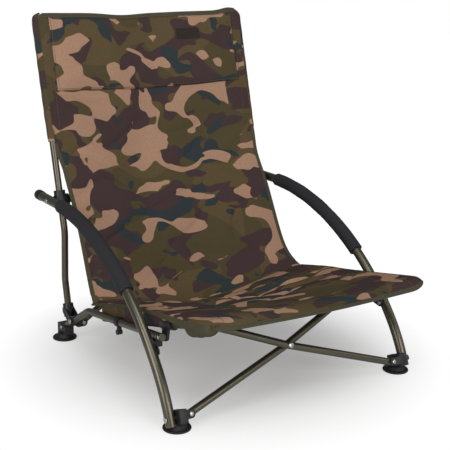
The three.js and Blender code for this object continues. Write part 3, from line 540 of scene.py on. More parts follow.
# The mud feet: round black discs 58 mm across with a raised rim ring, moulded
# in one with the block that carries the leg and, in front, the cross tube.
FOOT_PROFILE = (
    (0, 0), (24, 0), (24.6, 0.7), (27.6, 0.7), (28.6, 1.2), (29, 2.2), (29, 3.4), (28.4, 4.6),
    (27, 5.2), (24, 5.4), (22.6, 5.0), (21.4, 5.6), (19.6, 9), (17.2, 13), (14.4, 15.4), (12, 16),
    (0, 16),
)
FOOT_SIDES, FOOT_TIP, BLOCK_FOOT = 72, 0.01, 5.2
FEET = (("front", 286, 0, "foot", 1.4), ("rear", 284, 556, "side_leg", 5.5))
mud_rubber = grained_material(
    "black_foot_rubber", srgb(20, 20, 21), srgb(31, 31, 32), 0.0, (0.45, 0.62), 1800, 0.3,
    specular=0.45,
)
for word, side in SIDES:
    for place, x, y, body, ease in FEET:
        node = f"{word}_{place}_foot"
        disc = ring_mesh([
            circle_ring(at(side * x, y, z), X_AXIS, Y_AXIS, max(r, FOOT_TIP) * MM, FOOT_SIDES)
            for r, z in FOOT_PROFILE
        ])
        place_piece(disc, f"{node}_disc", mud_rubber, f"{word}_{body}", None, 40)
        block = eased_copy(node, ease)
        shell = bmesh.new()
        shell.from_mesh(block)
        bmesh.ops.bisect_plane(
            shell, geom=shell.verts[:] + shell.edges[:] + shell.faces[:],
            plane_co=(0, 0, BLOCK_FOOT * MM), plane_no=(0, 0, -1), clear_outer=True,
        )
        bmesh.ops.holes_fill(shell, edges=[e for e in shell.edges if e.is_boundary])
        shell.to_mesh(block)
        shell.free()
        place_piece(
            block, f"{node}_block", black_nylon, f"{word}_{body}", node, 30
        )

# Pins and rivets: zinc-plated steel, each a shank with low domed heads. One
# tree makes them all from lines: a line for each pin, marked where it has a head.
HEAD_HEIGHT, SHANK_SIDES, HEAD_SIDES, HEAD_STEPS, HEAD_DROP = 2, 20, 28, 8, 0.93
HEAD_AT_LEAST = 0.0001
zinc = grained_material(
    "zinc_plate", srgb(176, 176, 170), srgb(202, 202, 198), 1.0, (0.2, 0.34), 700, 0.08
)


def grow_group(name, inputs, output):
    """An empty tree that grows geometry, with named inputs and one output."""
    tree = bpy.data.node_groups.new(name, "GeometryNodeTree")
    for label, kind in inputs.items():
        tree.interface.new_socket(label, in_out="INPUT", socket_type=f"NodeSocket{kind}")
    tree.interface.new_socket(output, in_out="OUTPUT", socket_type="NodeSocketGeometry")
    return tree, tree.nodes.new("NodeGroupInput").outputs, tree.nodes.new("NodeGroupOutput")


def end_tree(tree, geometry, finish, output):
    """Make a tree's instances real, give them their material and put them out."""
    whole = tree_node(tree, "GeometryNodeRealizeInstances", {"Geometry": geometry}).outputs[0]
    painted = tree_node(tree, "GeometryNodeSetMaterial", {"Geometry": whole, "Material": finish})
    fill_inputs(tree, output, {0: painted.outputs[0]})


def swept(tree, line, sides, radius):
    """A capped round bar along a curve, its radius a field."""
    ring = tree_node(tree, "GeometryNodeCurvePrimitiveCircle", {"Resolution": sides, "Radius": 1.0})
    return tree_node(tree, "GeometryNodeCurveToMesh", {
        "Curve": line, "Profile Curve": ring.outputs["Curve"], "Scale": radius, "Fill Caps": True,
    }).outputs[0]


def named_value(tree, label):
    kind = "GeometryNodeInputNamedAttribute"
    return tree_node(tree, kind, {"Name": label}, data_type="FLOAT").outputs[0]


pins, given, pins_out = grow_group(
    "domed_pins", {"Lines": "Geometry", "Head Height": "Float", "Finish": "Material"}, "Pins"
)
pin_line = tree_node(pins, "GeometryNodeMeshToCurve", {"Mesh": given["Lines"]}).outputs[0]
pin_head = named_value(pins, "head")
shanks = swept(pins, pin_line, SHANK_SIDES, named_value(pins, "shank"))
dome_axis = tree_node(
    pins, "GeometryNodeCurvePrimitiveLine", {"Start": (0, 0, 0), "End": (0, 0, 1)}
)
dome_line = tree_node(pins, "GeometryNodeResampleCurve", {
    "Curve": dome_axis.outputs[0], "Count": HEAD_STEPS,
}).outputs[0]
climb = tree_node(pins, "GeometryNodeSplineParameter").outputs["Factor"]
dome_fall = tree_math(pins, "MULTIPLY", HEAD_DROP, tree_math(pins, "POWER", climb, 3.0))
dome_radius = tree_math(pins, "SQRT", tree_math(pins, "SUBTRACT", 1.0, dome_fall))
dome = swept(pins, dome_line, HEAD_SIDES, dome_radius)
tangent = tree_node(pins, "GeometryNodeInputTangent").outputs[0]
head_size = tree_node(pins, "ShaderNodeCombineXYZ", {
    "X": pin_head, "Y": pin_head, "Z": given["Head Height"],
}).outputs[0]
headed = tree_math(pins, "GREATER_THAN", pin_head, HEAD_AT_LEAST)
joined = tree_node(pins, "GeometryNodeJoinGeometry", {0: shanks})
for at_start, at_end, sign in ((1, 0, -1.0), (0, 1, 1.0)):
    ends = tree_node(pins, "GeometryNodeCurveEndpointSelection", {
        "Start Size": at_start, "End Size": at_end,
    }).outputs[0]
    both = tree_node(pins, "FunctionNodeBooleanMath", {0: ends, 1: headed}).outputs[0]
    aim = tree_node(pins, "ShaderNodeVectorMath", {0: tangent, "Scale": sign}, operation="SCALE")
    facing = tree_node(
        pins, "FunctionNodeAlignRotationToVector", {"Vector": aim.outputs[0]}, axis="Z"
    ).outputs[0]
    heads = tree_node(pins, "GeometryNodeInstanceOnPoints", {
        "Points": pin_line, "Instance": dome, "Selection": both, "Rotation": facing,
        "Scale": head_size,
    })
    fill_inputs(pins, joined, {0: heads.outputs[0]})
end_tree(pins, joined.outputs[0], given["Finish"], pins_out)


def grown(tree, points, edges, values, settings):
    """The mesh that a tree grows on some lines, with their values and its settings."""
    seed = bpy.data.meshes.new("seed")
    seed.from_pydata(points, edges, [])
    for label, numbers in values.items():
        layer = seed.attributes.new(label, "FLOAT", "POINT")
        for item, number in zip(layer.data, numbers):
            item.value = number
    inputs = {
        item.identifier: settings[item.name] for item in tree.interface.items_tree
        if item.item_type == "SOCKET" and item.in_out == "INPUT" and item.name in settings
    }
    return changed(seed, "NODES", {"node_group": tree}, inputs)


def set_pins(name, body, nodes, rows):
    """Pins of one body: rows of start, end, shank radius, head at start, head at end."""
    points, edges, shank, head = [], [], [], []
    for start, end, radius, head_start, head_end in rows:
        edges.append((len(points), len(points) + 1))
        points += [start, end]
        shank += [radius * MM] * 2
        head += [head_start * MM, head_end * MM]
    settings = {"Head Height": HEAD_HEIGHT * MM, "Finish": zinc}
    mesh = grown(pins, points, edges, {"shank": shank, "head": head}, settings)
    return place_piece(mesh, name, zinc, body, nodes, 40)


def span(point, x, w, low, high):
    return point(x, w, low), point(x, w, high)


def arm_y(height):
    for low, high in zip(ARM, ARM[1:]):
        if high[1] >= height:
            return between(height, low[::-1], high[::-1])


SADDLE_Y, BRACKET_Z = 560, 140
SADDLE = SADDLE_Y, between(SADDLE_Y, *SIDE_LEG_LINE[:2])
BRACKET = arm_y(BRACKET_Z), BRACKET_Z
FOOT_HOLD, CLEVIS_HOLD, CROSSING_HOLD = 13.6, 12.6, 16.6
FOOT_PIN = (FRONT_PIVOT, (285.3, 315.3), 3, 0, 6.5)
SIDE_PINS = (
    ("arm_pivot_bolt", "hub", "arm_pivot_pin", (HUB_Y, ARM_Z), (287.9, 315.3), 3, 0, 6.5),
    ("collar_rivet", "back_frame", "collar_pin", COLLAR, (266.9, 291.1), 3, 6.5, 6.5),
    ("saddle_rivet", "side_leg", "rear_foot_rivet", SADDLE, (266.7, 291.3), 2.5, 5, 5),
    ("corner_rivet", "seat_frame", "corner_hub_pin", CORNER, (264.7, 287.3), 3, 6.5, 6.5),
    ("bracket_rivet", "arm", "leg_bracket_rivet", BRACKET, (289.4, 303.7), 2.5, 5, 0),
)


def side_pin(side, spot, reach, *sizes):
    """A row for a pin that lies across the chair, from its inner to its outer end."""
    return (*(at(side * x, *spot) for x in reach), *sizes)


for word, side in SIDES:
    own, ear = f"{word}_", side * CROSS_STEP
    for name, body, node, *row in SIDE_PINS:
        set_pins(own + name, own + body, own + node, [side_pin(side, *row)])
    hold = span(front_point, side * FRONT_FOOT_X, 0, ear - FOOT_HOLD, ear + FOOT_HOLD)
    nodes = [own + "front_foot_pin", own + "front_cross_pin"]
    set_pins(
        own + "foot_rivets", own + "foot", nodes, [side_pin(side, *FOOT_PIN), (*hold, 3, 5, 5)]
    )
    hold = span(rear_point, side * REAR_FOOT_X, 0, -ear - CLEVIS_HOLD, -ear + CLEVIS_HOLD)
    set_pins(own + "clevis_rivet", own + "clevis", own + "rear_cross_pin", [(*hold, 3, 5, 5)])
    plug = eased_copy(own + "rail_end_plug", 1.2)
    place_piece(
        plug, own + "rail_bright_plug", zinc, own + "seat_frame", own + "rail_end_plug",
        30
    )
for place, point, w in (
    ("front", front_point, FRONT_CROSSING), ("rear", rear_point, REAR_HEIGHT / 2)
):
    hold = span(point, 0, w, -CROSSING_HOLD, CROSSING_HOLD)
    body = f"{place}_cross_a"
    set_pins(f"{place}_crossing_rivet", body, f"{place}_cross_rivet", [(*hold, 3, 6.5, 6.5)])

# The camouflage cloth: a coated polyester plain weave, olive, with rounded and
# branching shapes of its own printed on it in moss, brown, slate and tan.
CLOTH_OLIVE, CLOTH_MOSS, CLOTH_BROWN = srgb(91, 77, 53), srgb(80, 71, 48), srgb(70, 54, 54)
CLOTH_TAN, CLOTH_SLATE = srgb(166, 131, 108), srgb(51, 58, 60)
PRINT_EDGE, PRINT_STRETCH, SPINE_OFF, WEAVE_PITCH = 0.004, (0.72, 1.0, 1.0), 5.3, 0.0009
FADE, WEAVE_BUMP = {"To Min": 0.86, "To Max": 1.14}, {"Strength": 0.35, "Distance": 0.00025}
CLOTH_ROUGH, CLOTH_GLOSS = 0.86, 0.12

shapes, given, shapes_out = effect_group("printed_shapes", {
    "Scale": 10.0, "Layout": 0.0, "Level": 0.55, "Bend": 1.2, "Detail": 1.0, "Slim": 0.0,
}, ("Mask",))
blobs = tree_node(shapes, "ShaderNodeTexNoise", {
    "Vector": given["Vector"], "Scale": given["Scale"], "W": given["Layout"],
    "Distortion": given["Bend"], "Detail": given["Detail"], "Roughness": 0.4,
}, noise_dimensions="4D").outputs["Fac"]
spine = tree_node(shapes, "ShaderNodeTexNoise", {
    "Vector": given["Vector"], "Scale": given["Scale"], "Detail": 0.6,
    "W": tree_math(shapes, "ADD", given["Layout"], SPINE_OFF),
}, noise_dimensions="4D").outputs["Fac"]
off_spine = tree_math(shapes, "ABSOLUTE", tree_math(shapes, "SUBTRACT", spine, 0.5))
slimmed = tree_math(shapes, "MULTIPLY", off_spine, given["Slim"])
edge = tree_node(shapes, "ShaderNodeMapRange", {
    "Value": tree_math(shapes, "SUBTRACT", blobs, slimmed),
    "From Min": tree_math(shapes, "SUBTRACT", given["Level"], PRINT_EDGE),
    "From Max": tree_math(shapes, "ADD", given["Level"], PRINT_EDGE),
}, interpolation_type="SMOOTHSTEP")
fill_inputs(shapes, shapes_out, {"Mask": edge.outputs["Result"]})

weave, given, weave_out = effect_group("plain_weave", {"Pitch": WEAVE_PITCH}, ("Height", "Shade"))
split = tree_node(weave, "ShaderNodeSeparateXYZ", {0: given["Vector"]}).outputs
turns = tree_math(weave, "DIVIDE", 2 * math.pi, given["Pitch"])
waves = [tree_math(weave, "SINE", tree_math(weave, "MULTIPLY", split[k], turns)) for k in (0, 1)]
patches = tree_node(weave, "ShaderNodeTexNoise", {
    "Vector": given["Vector"], "Scale": 160, "Detail": 4,
})
fill_inputs(weave, weave_out, {
    "Height": tree_math(weave, "MULTIPLY", *waves), "Shade": patches.outputs["Fac"],
})


def woven_material(name, ground, pitch, layers=(), offset=(0, 0, 0), spin=0.0, rough=CLOTH_ROUGH):
    """Woven cloth: a ground colour with printed layers, weave bump and slight fading."""
    material, tree = plain_material(name)
    flat = tree_node(tree, "ShaderNodeUVMap", uv_map="cloth").outputs["UV"]
    lay = tree_node(tree, "ShaderNodeMapping", {
        "Vector": flat, "Location": offset, "Rotation": (0, 0, spin), "Scale": PRINT_STRETCH,
    }).outputs["Vector"]
    colour = tree_node(tree, "ShaderNodeRGB").outputs[0]
    colour.default_value = ground
    for tone, *shape in layers:
        shape = dict(zip(("Scale", "Layout", "Level", "Bend", "Detail", "Slim"), shape))
        mask = tree_node(tree, "ShaderNodeGroup", {"Vector": lay, **shape}, node_tree=shapes)
        colour = tree_node(tree, "ShaderNodeMix", {
            "Factor": mask.outputs["Mask"], "A": colour, "B": tone,
        }, data_type="RGBA").outputs["Result"]
    threads = tree_node(tree, "ShaderNodeGroup", {"Vector": flat, "Pitch": pitch}, node_tree=weave)
    fade = tree_node(tree, "ShaderNodeMapRange", {"Value": threads.outputs["Shade"], **FADE})
    worn = tree_node(tree, "ShaderNodeVectorMath", {
        0: colour, "Scale": fade.outputs["Result"],
    }, operation="SCALE")
    rise = tree_node(tree, "ShaderNodeBump", {"Height": threads.outputs["Height"], **WEAVE_BUMP})
    fill_inputs(tree, tree.nodes["Principled BSDF"], {
        "Base Color": worn.outputs[0], "Normal": rise.outputs["Normal"],
        "Roughness": rough, "Specular IOR Level": CLOTH_GLOSS,
    })
    return material


CAMO_LAYERS = (
    (CLOTH_MOSS, 6.5, 31.7, 0.52, 1.0, 0.6, 0),
    (CLOTH_BROWN, 8.0, 3.1, 0.478, 1.9, 1.2, 0.55),
    (CLOTH_SLATE, 9.2, 23.3, 0.54, 2.0, 1.0, 1.5),
    (CLOTH_TAN, 10.8, 27.4, 0.495, 1.5, 0.8, 1.45),
)
camo_cloth = woven_material("camo_cloth", CLOTH_OLIVE, WEAVE_PITCH, CAMO_LAYERS)
camo_panel = woven_material(
    "camo_head_panel", CLOTH_OLIVE, WEAVE_PITCH, CAMO_LAYERS, offset=(0.61, 1.27, 0), spin=0.25
)
olive_tape = woven_material("olive_tape", srgb(76, 72, 56), 0.0012, rough=0.8)


def cloth_mesh(rows, columns, point, thick):
    """A sheet of cloth through a grid of points, with its flat measure as a UV map."""
    grid = [[point(i / rows, j / columns) for j in range(columns + 1)] for i in range(rows + 1)]
    count = columns + 1
    corners = [i * count + j for i in range(rows) for j in range(columns)]
    faces = [(a, a + 1, a + count + 1, a + count) for a in corners]
    mesh = bpy.data.meshes.new("cloth")
    mesh.from_pydata([p for row in grid for p in row], [], faces)
    middle = columns // 2
    across = [[0.0] * count for _ in grid]
    for i, row in enumerate(grid):
        for j in range(middle + 1, count):
            across[i][j] = across[i][j - 1] + (row[j] - row[j - 1]).length
        for j in range(middle - 1, -1, -1):
            across[i][j] = across[i][j + 1] - (row[j] - row[j + 1]).length
    along = [0.0]
    for low, high in zip(grid, grid[1:]):
        along.append(along[-1] + (high[middle] - low[middle]).length)
    layer = mesh.uv_layers.new(name="cloth")
    for loop in mesh.loops:
        i, j = divmod(loop.vertex_index, count)
        layer.data[loop.index].uv = (across[i][j], along[i])
    flat = max(row[-1] - row[0] for row in across), along[-1]
    return changed(mesh, "SOLIDIFY", {"thickness": thick * MM, "offset": 0}), flat


# The seat: cloth slung between the two rails, its front corners pulled over the
# rails' noses, its rear edge sewn to the back in a seam that runs askew.
CLOTH_THICK = 1.6
SEAT_HALF, SEAT_FRONT, SEAT_BREAK = 272, (-100, 251), (250, 178.3)
SEAT_FALL, SEAT_NARROW_FROM, SEAT_SPREAD, FOLD_PITCH = 72.7, 210, 9, 92
CREASE, CREASE_DEPTH, CREASE_SKEW, CREASE_LIFT = (425, 128), 44, 37, 4.5


def hang(t):
    """How far slung cloth hangs: all the way in the middle, not at the edges."""
    return (1 - t * t) ** 2


def clamp(share):
    return min(1, max(0, share))


def bell(x, centre, width, power=2):
    """One at the centre, fading to nothing on both sides."""
    return math.exp(-(((x - centre) / width) ** power))


def seat_edge_z(y):
    """The height of the seat's side edge."""
    if y < SEAT_BREAK[0]:
        return SEAT_FRONT[1] - SEAT_FALL * (y - SEAT_FRONT[0]) / (SEAT_BREAK[0] - SEAT_FRONT[0])
    return between(y, SEAT_BREAK, CREASE)


def spread_at(y):
    """How far the seat has widened towards its front at y, from 0 to 1."""
    return clamp((SEAT_NARROW_FROM - y) / SEAT_NARROW_FROM)


def crease_shift(t):
    """How far the sewn crease has been dragged from its straight line, as y and z."""
    y = CREASE[0] - CREASE_SKEW * (1 + t)
    z = seat_edge_z(y) + CREASE_LIFT * (1 + t) - CREASE_DEPTH * hang(t)
    return y - CREASE[0], z - CREASE[1]


def seat_point(v, u):
    """The seat's cloth from its front edge, v 0, to the crease, and from left to right."""
    t = 2 * u - 1
    front = SEAT_FRONT[0] + 30 * abs(t) ** 16
    y = front + (CREASE[0] + crease_shift(t)[0] - front) * v
    drop = (11 + (CREASE_DEPTH - 11) * v**1.6) * hang(t)
    lip = max(0, 1 - (y - front) / (26 + 34 * hang(t))) ** 1.5
    drop += lip * (21 - 6 * hang(t) - 15 * clamp((abs(t) - 0.8) / 0.2) ** 2)
    fold = 2.6 * math.sin(SEAT_HALF * t * math.pi / FOLD_PITCH + 5 * v) * math.sin(math.pi * v) ** 2
    free = (1 - t**6) * math.sin(math.pi * v) ** 0.5 if 0 < v < 1 else 0
    line = v * 8.5 + 1.1 * t + 0.8 * wrinkle(t * 1.7, v * 3, 1.5)
    furrow = -25 * bell(line % 1, 0.5, 0.15) * bell(v, 0.8, 0.22) * hang(t * 0.9)
    pull = 9.5 * wrinkle(t * 1.3 + 2, v * 12 - t * 3.1, 4.0) * bell(v, 0.78, 0.2)
    pull += 3.5 * wrinkle(t * 2.1 - 4, v * 26 - t * 4.5, 5.0) * bell(v, 0.8, 0.16)
    ridge = 1 - abs(wrinkle(t * 1.5 - v + 3, v * 6.5 - t * 1.4, 6.0))
    cross = 2.4 * wrinkle(t * 2.5 + v * 2, v * 5 - t * 2.4, 9.0)
    cross -= 7 * ridge**12 * bell(v, 0.6, 0.28, 4)
    z = seat_edge_z(y) + CREASE_LIFT * (1 + t) * v**3 - drop + fold * hang(t)
    z += (pull + cross + furrow) * free
    beyond = max(0, abs(t) - 0.962) / 0.038
    near = spread_at(y)
    lower = (5 + 10.5 * near * near) * beyond * beyond * (1 if t < 0 else 0.25)
    return at((SEAT_HALF + SEAT_SPREAD * near * near) * t, y, z - lower)


seat_mesh, seat_flat = cloth_mesh(150, 160, seat_point, CLOTH_THICK)
seat_cloth = place_piece(
    seat_mesh, "seat_cloth", camo_cloth, "left_seat_frame", "seat_sling", 60
)

# The back: the same cloth, from the crease past the arm hubs to the uprights,
# where its sides turn round the tubes as sleeves up to the top corners.
BACK_HALF, SLEEVE_LOW, SLEEVE_HIGH, SLEEVE_OFF, BACK_SAG = 268, 476, 765, 9.75, 27
TURN_SHARES = ((0.245, 0.346), (0.485, 0.595), (0.735, 0.79))
STRAIGHT_FROM, CREASE_START, CURVE_STEPS = 92, 1.8, 40


def on_upright(z):
    return upright_y(z) - SLEEVE_OFF * SLIDE.z, z + SLEEVE_OFF * SLIDE.y


def centripetal(points, steps):
    """A smooth curve through points, finely sampled."""
    before, after = (
        [2 * a - b for a, b in zip(end, inner)]
        for end, inner in ((points[0], points[1]), (points[-1], points[-2]))
    )
    ends = [Vector(p) for p in (before, *points, after)]
    curve = []
    for p0, p1, p2, p3 in zip(ends, ends[1:], ends[2:], ends[3:]):
        t0, t1 = 0.0, (p1 - p0).length ** 0.5
        t2 = t1 + (p2 - p1).length ** 0.5
        t3 = t2 + (p3 - p2).length ** 0.5
        for k in range(steps):
            t = t1 + (t2 - t1) * k / steps
            a1 = p0 * ((t1 - t) / (t1 - t0)) + p1 * ((t - t0) / (t1 - t0))
            a2 = p1 * ((t2 - t) / (t2 - t1)) + p2 * ((t - t1) / (t2 - t1))
            a3 = p2 * ((t3 - t) / (t3 - t2)) + p3 * ((t - t2) / (t3 - t2))
            b1 = a1 * ((t2 - t) / (t2 - t0)) + a2 * ((t - t0) / (t2 - t0))
            b2 = a2 * ((t3 - t) / (t3 - t1)) + a3 * ((t - t1) / (t3 - t1))
            curve.append(b1 * ((t2 - t) / (t2 - t1)) + b2 * ((t - t1) / (t2 - t1)))
    curve.append(Vector(points[-1]))
    return curve


turn_y, turn_z = upright_y(SLEEVE_LOW) - CREASE[0], SLEEVE_LOW - CREASE[1]
start_slope = math.atan2(turn_z * TURN_SHARES[0][1], turn_y * TURN_SHARES[0][0])
start_step = (math.cos(start_slope), math.sin(start_slope))
back_points = [tuple(c + CREASE_START * s for c, s in zip(CREASE, start_step))]
back_points += [(CREASE[0] + a * turn_y, CREASE[1] + b * turn_z) for a, b in TURN_SHARES]
back_heights = (SLEEVE_LOW, SLEEVE_LOW + STRAIGHT_FROM, (SLEEVE_LOW + SLEEVE_HIGH) / 2, SLEEVE_HIGH)
back_points += [on_upright(z) for z in back_heights]
back_curve = centripetal(back_points, CURVE_STEPS)
back_runs = [0.0]
for low, high in zip(back_curve, back_curve[1:]):
    back_runs.append(back_runs[-1] + (high - low).length)
BACK_LENGTH = back_runs[-1]
BACK_TURN_Z = CREASE[1] + TURN_SHARES[-1][1] * turn_z


def back_at(v):
    """Place and direction of the back's side line at a share of its length."""
    reach = clamp(v) * BACK_LENGTH
    i = 1
    while i < len(back_runs) - 1 and back_runs[i] < reach:
        i += 1
    low, high = back_curve[i - 1], back_curve[i]
    share = (reach - back_runs[i - 1]) / (back_runs[i] - back_runs[i - 1])
    return low + (high - low) * share, (high - low).normalized()


def back_point(v, u, forward=0.0):
    """The back's cloth from the crease, v 0, to its top edge, and from left to right."""
    t = 2 * u - 1
    point, along = back_at(v)
    rise = clamp((point[1] - BACK_TURN_Z) / (SLEEVE_LOW - BACK_TURN_Z))
    half = BACK_HALF + (UPRIGHT_X - BACK_HALF) * (rise * rise * (3 - 2 * rise))
    near = math.exp(-v / 0.07)
    sag = BACK_SAG * (1 - (1 - v) ** 8) * (1 - v * v / 2) * hang(t)
    fold = 4.2 * math.sin(BACK_HALF * t * math.pi / FOLD_PITCH - 6 * v) * math.sin(math.pi * v) ** 2
    free = (1 - t**6) * min(1, 12 * v)
    soft = 6.5 * wrinkle(t * 2.2 - v, v * 4 + t, 2.0)
    soft += 4.5 * wrinkle(t * 1.2 + 5, v * 11 - abs(t) * 3, 7.0) * bell(v, 0.42, 0.16) * abs(t)
    soft += 7 * bell(v + 0.16 * t, 0.36, 0.018) * bell(t, -0.62, 0.3)
    soft += 6 * bell(v + 0.1 * t, 0.62, 0.015) * bell(t, -0.7, 0.25)
    soft += 6.0 * wrinkle(t * 2.0 - 3, v * 17 + t * 2.6, 1.0) * bell(v, 0.12, 0.1)
    ridge = 1 - abs(wrinkle(t * 1.3 + v * 1.5 + 8, v * 5.2 - t * 1.9, 3.0))
    soft += 8.5 * ridge**14 * bell(v, 0.34, 0.3, 4) * (0.45 + 0.55 * abs(t))
    back = sag + fold * hang(t) + soft * free - forward
    skew_y, skew_z = crease_shift(t)
    lean = 12 * t * (1 - near) * (1 - clamp((v - 0.38) / 0.24) ** 2)
    top = clamp((v - 0.86) / 0.14) ** 2
    wave = 7 * bell(t, 0.9, 0.1) - 6 * bell(t, -0.2, 0.22) - 5 * max(0, abs(t) - 0.96) / 0.04
    y = point[0] + back * along[1] + skew_y * near - lean
    return at(half * t, y, point[1] - back * along[0] + (skew_z * near + top * wave))


back_mesh, back_flat = cloth_mesh(190, 150, back_point, CLOTH_THICK)
back_cloth = place_piece(
    back_mesh, "back_cloth", camo_cloth, "left_back_frame", "back_sling", 60
)

# The pole sleeves: the back cloth turned round each upright and sewn back to
# itself, loose enough to slide the tube in, so it puckers a little on its way.
SLEEVE_R, SLEEVE_SWEEP, SLEEVE_DOME_FROM, SLEEVE_DOME = 9.75, math.radians(290), 750, 15.2
FRONT_OF = Vector((0, -SLIDE.z, SLIDE.y))


def sleeve_point(side, v, u):
    z = SLEEVE_LOW + (SLEEVE_HIGH - SLEEVE_LOW) * v
    angle = math.pi / 2 - side * SLEEVE_SWEEP * u
    across, ahead = math.cos(angle), math.sin(angle)
    loose = min(1, 4 * u) * min(1, 5 * (1 - u))
    pucker = 0.45 * math.sin(v * 46 + 2 * ahead + side)
    pucker += 0.9 * wrinkle(v * 11 + side, 2 * across, 2 * ahead)
    dome = math.sqrt(max(0.01, 1 - max(0, (z - SLEEVE_DOME_FROM) / SLEEVE_DOME) ** 2))
    reach = (SLEEVE_R + 0.5 * loose + pucker * 0.6 * loose) * dome * MM
    centre = at(side * UPRIGHT_X, upright_y(z), z)
    return centre + X_AXIS * (reach * across) + FRONT_OF * (reach * ahead)


# The bindings: olive woven tape folded over every raw edge of the cloth and
# sewn down with one row of stitches; it draws the edge in and ripples with it.
TAPE_FACE, TAPE_CREST, TAPE_LIP = 1.5, 1.65, 0.95
EDGE_WAY = Vector((0, 0.7, 0.7))
SEAT_WIDTH, SEAT_RUN, BACK_WIDTH = 2 * SEAT_HALF, 525, 545


def bound_edge(point, route, inboard, width):
    """Tape folded over a cloth edge, along (v, u) places; inboard is a millimetre's step."""
    upper = [
        (width, TAPE_LIP), (width, TAPE_FACE), (width * 0.5, TAPE_CREST), (0.6, TAPE_FACE),
        (-0.7, 0.9)
    ]
    lower = [(reach, -height) for reach, height in reversed(upper)]
    section = [*upper, (-1.1, 0), *lower, (0.3, -TAPE_LIP), (-0.1, 0), (0.3, TAPE_LIP)]
    dv, du = inboard
    rings = []
    for k, (v, u) in enumerate(route):
        edge = point(v, u)
        before, after = route[max(k - 1, 0)], route[min(k + 1, len(route) - 1)]
        along = (point(*after) - point(*before)).normalized()
        inner = point(v + dv, u + du) - edge
        inward = (inner - along * inner.dot(along)).normalized()
        normal = along.cross(inward).normalized()
        ring = []
        for reach, height in section:
            outside = edge + inward * reach * MM
            base = point(v + dv * reach, u + du * reach) if reach > 0 else outside
            ring.append(base + normal * height * MM)
        rings.append(ring)
    return ring_mesh(rings)


def flat_uv(mesh, across, along=EDGE_WAY):
    """A UV map in metres read off two directions, for cloth that is cut straight."""
    layer = mesh.uv_layers.new(name="cloth") if not mesh.uv_layers else mesh.uv_layers[0]
    for loop in mesh.loops:
        spot = mesh.vertices[loop.vertex_index].co
        layer.data[loop.index].uv = (spot.dot(across), spot.dot(along))
    return mesh


def tape(name, point, route, inboard, width, body):
    mesh = flat_uv(bound_edge(point, route, inboard, width), Vector((1, 0.3, 0)))
    return place_piece(mesh, name, olive_tape, body, None, 50)


def spread(count, low=0.0, high=1.0):
    return [low + (high - low) * k / count for k in range(count + 1)]


def cross_row(v, count, low, high):
    """A route from left to right at one height."""
    return [(v, u) for u in spread(count, low, high)]


def side_rows(*rows):
    """Routes up both sides: rows of inset, count, start and end."""
    return [
        [(v, u) for v in spread(count, low, high)]
        for inset, count, low, high in rows for u in (inset, 1 - inset)
    ]


# The stitches: bonded thread in short even stitches, grown along lines that
# follow the hems and seams, each one a small bar half sunk in the cloth.
STITCH_SIZES = {"Pitch": 4.2 * MM, "Stitch Length": 3.1 * MM, "Thread Radius": 0.42 * MM}
STITCH_LIFT, SEW_PROBE = 1.9, 0.002
thread = woven_material("sewing_thread", srgb(104, 99, 80), 0.0006)
stitches, given, stitches_out = grow_group("stitch_row", {
    "Lines": "Geometry", "Pitch": "Float", "Stitch Length": "Float", "Thread Radius": "Float",
    "Finish": "Material",
}, "Stitches")
stitch_line = tree_node(stitches, "GeometryNodeMeshToCurve", {"Mesh": given["Lines"]}).outputs[0]
spots = tree_node(stitches, "GeometryNodeCurveToPoints", {
    "Curve": stitch_line, "Length": given["Pitch"],
}, mode="LENGTH").outputs
bar = tree_node(stitches, "GeometryNodeMeshCylinder", {"Vertices": 6, "Radius": 1.0, "Depth": 1.0})
bar_size = tree_node(stitches, "ShaderNodeCombineXYZ", {
    "X": given["Thread Radius"], "Y": given["Thread Radius"], "Z": given["Stitch Length"],
})
bar_way = tree_node(
    stitches, "FunctionNodeAlignRotationToVector", {"Vector": spots["Tangent"]}, axis="Z"
)
laid = tree_node(stitches, "GeometryNodeInstanceOnPoints", {
    "Points": spots["Points"], "Instance": bar.outputs["Mesh"],
    "Rotation": bar_way.outputs[0], "Scale": bar_size.outputs[0],
})
end_tree(stitches, laid.outputs[0], given["Finish"], stitches_out)


def lifted(point, v, u, lift, probe):
    """A place so many millimetres off a surface, along its normal."""
    across = point(v, u + probe) - point(v, u - probe)
    up = point(v + probe, u) - point(v - probe, u)
    return point(v, u) + across.cross(up).normalized() * lift * MM


def sew(name, body, point, routes, lift=STITCH_LIFT):
    """A row of stitches along each route of (v, u) places, lifted off the cloth."""
    points, edges = [], []
    for route in routes:
        first = len(points)
        points += [lifted(point, v, u, lift, SEW_PROBE) for v, u in route]
        edges += [(k, k + 1) for k in range(first, len(points) - 1)]
    mesh = grown(stitches, points, edges, {}, {**STITCH_SIZES, "Finish": thread})
    return place_piece(flat_uv(mesh, X_AXIS), name, thread, body, None, 60)


SEAT_BODY, BACK_BODY = "left_seat_frame", "left_back_frame"
SEAT_EDGES, FRONT_EDGE = (110, 0.004, 0.992), (180, 0.002, 0.998)
SLEEVE_V = next(
    run for run, place in zip(back_runs, back_curve) if place[1] >= SLEEVE_LOW - 4
) / BACK_LENGTH
BACK_EDGES, TOP_EDGE = (90, 0.02, SLEEVE_V), (120, 0.02, 0.98)
seat_sides, back_sides = side_rows((0, *SEAT_EDGES)), side_rows((0, *BACK_EDGES))
seat_hems, back_hems = [], []
for (word, side), seat_side in zip(SIDES, seat_sides):
    inboard = (0, -side / SEAT_WIDTH)
    seat_hems.append(tape(f"seat_{word}_hem", seat_point, seat_side, inboard, 5.5, SEAT_BODY))
front_row, inboard = cross_row(0.0, *FRONT_EDGE), (1 / SEAT_RUN, 0)
seat_hems.append(tape("seat_front_hem", seat_point, front_row, inboard, 9, SEAT_BODY))
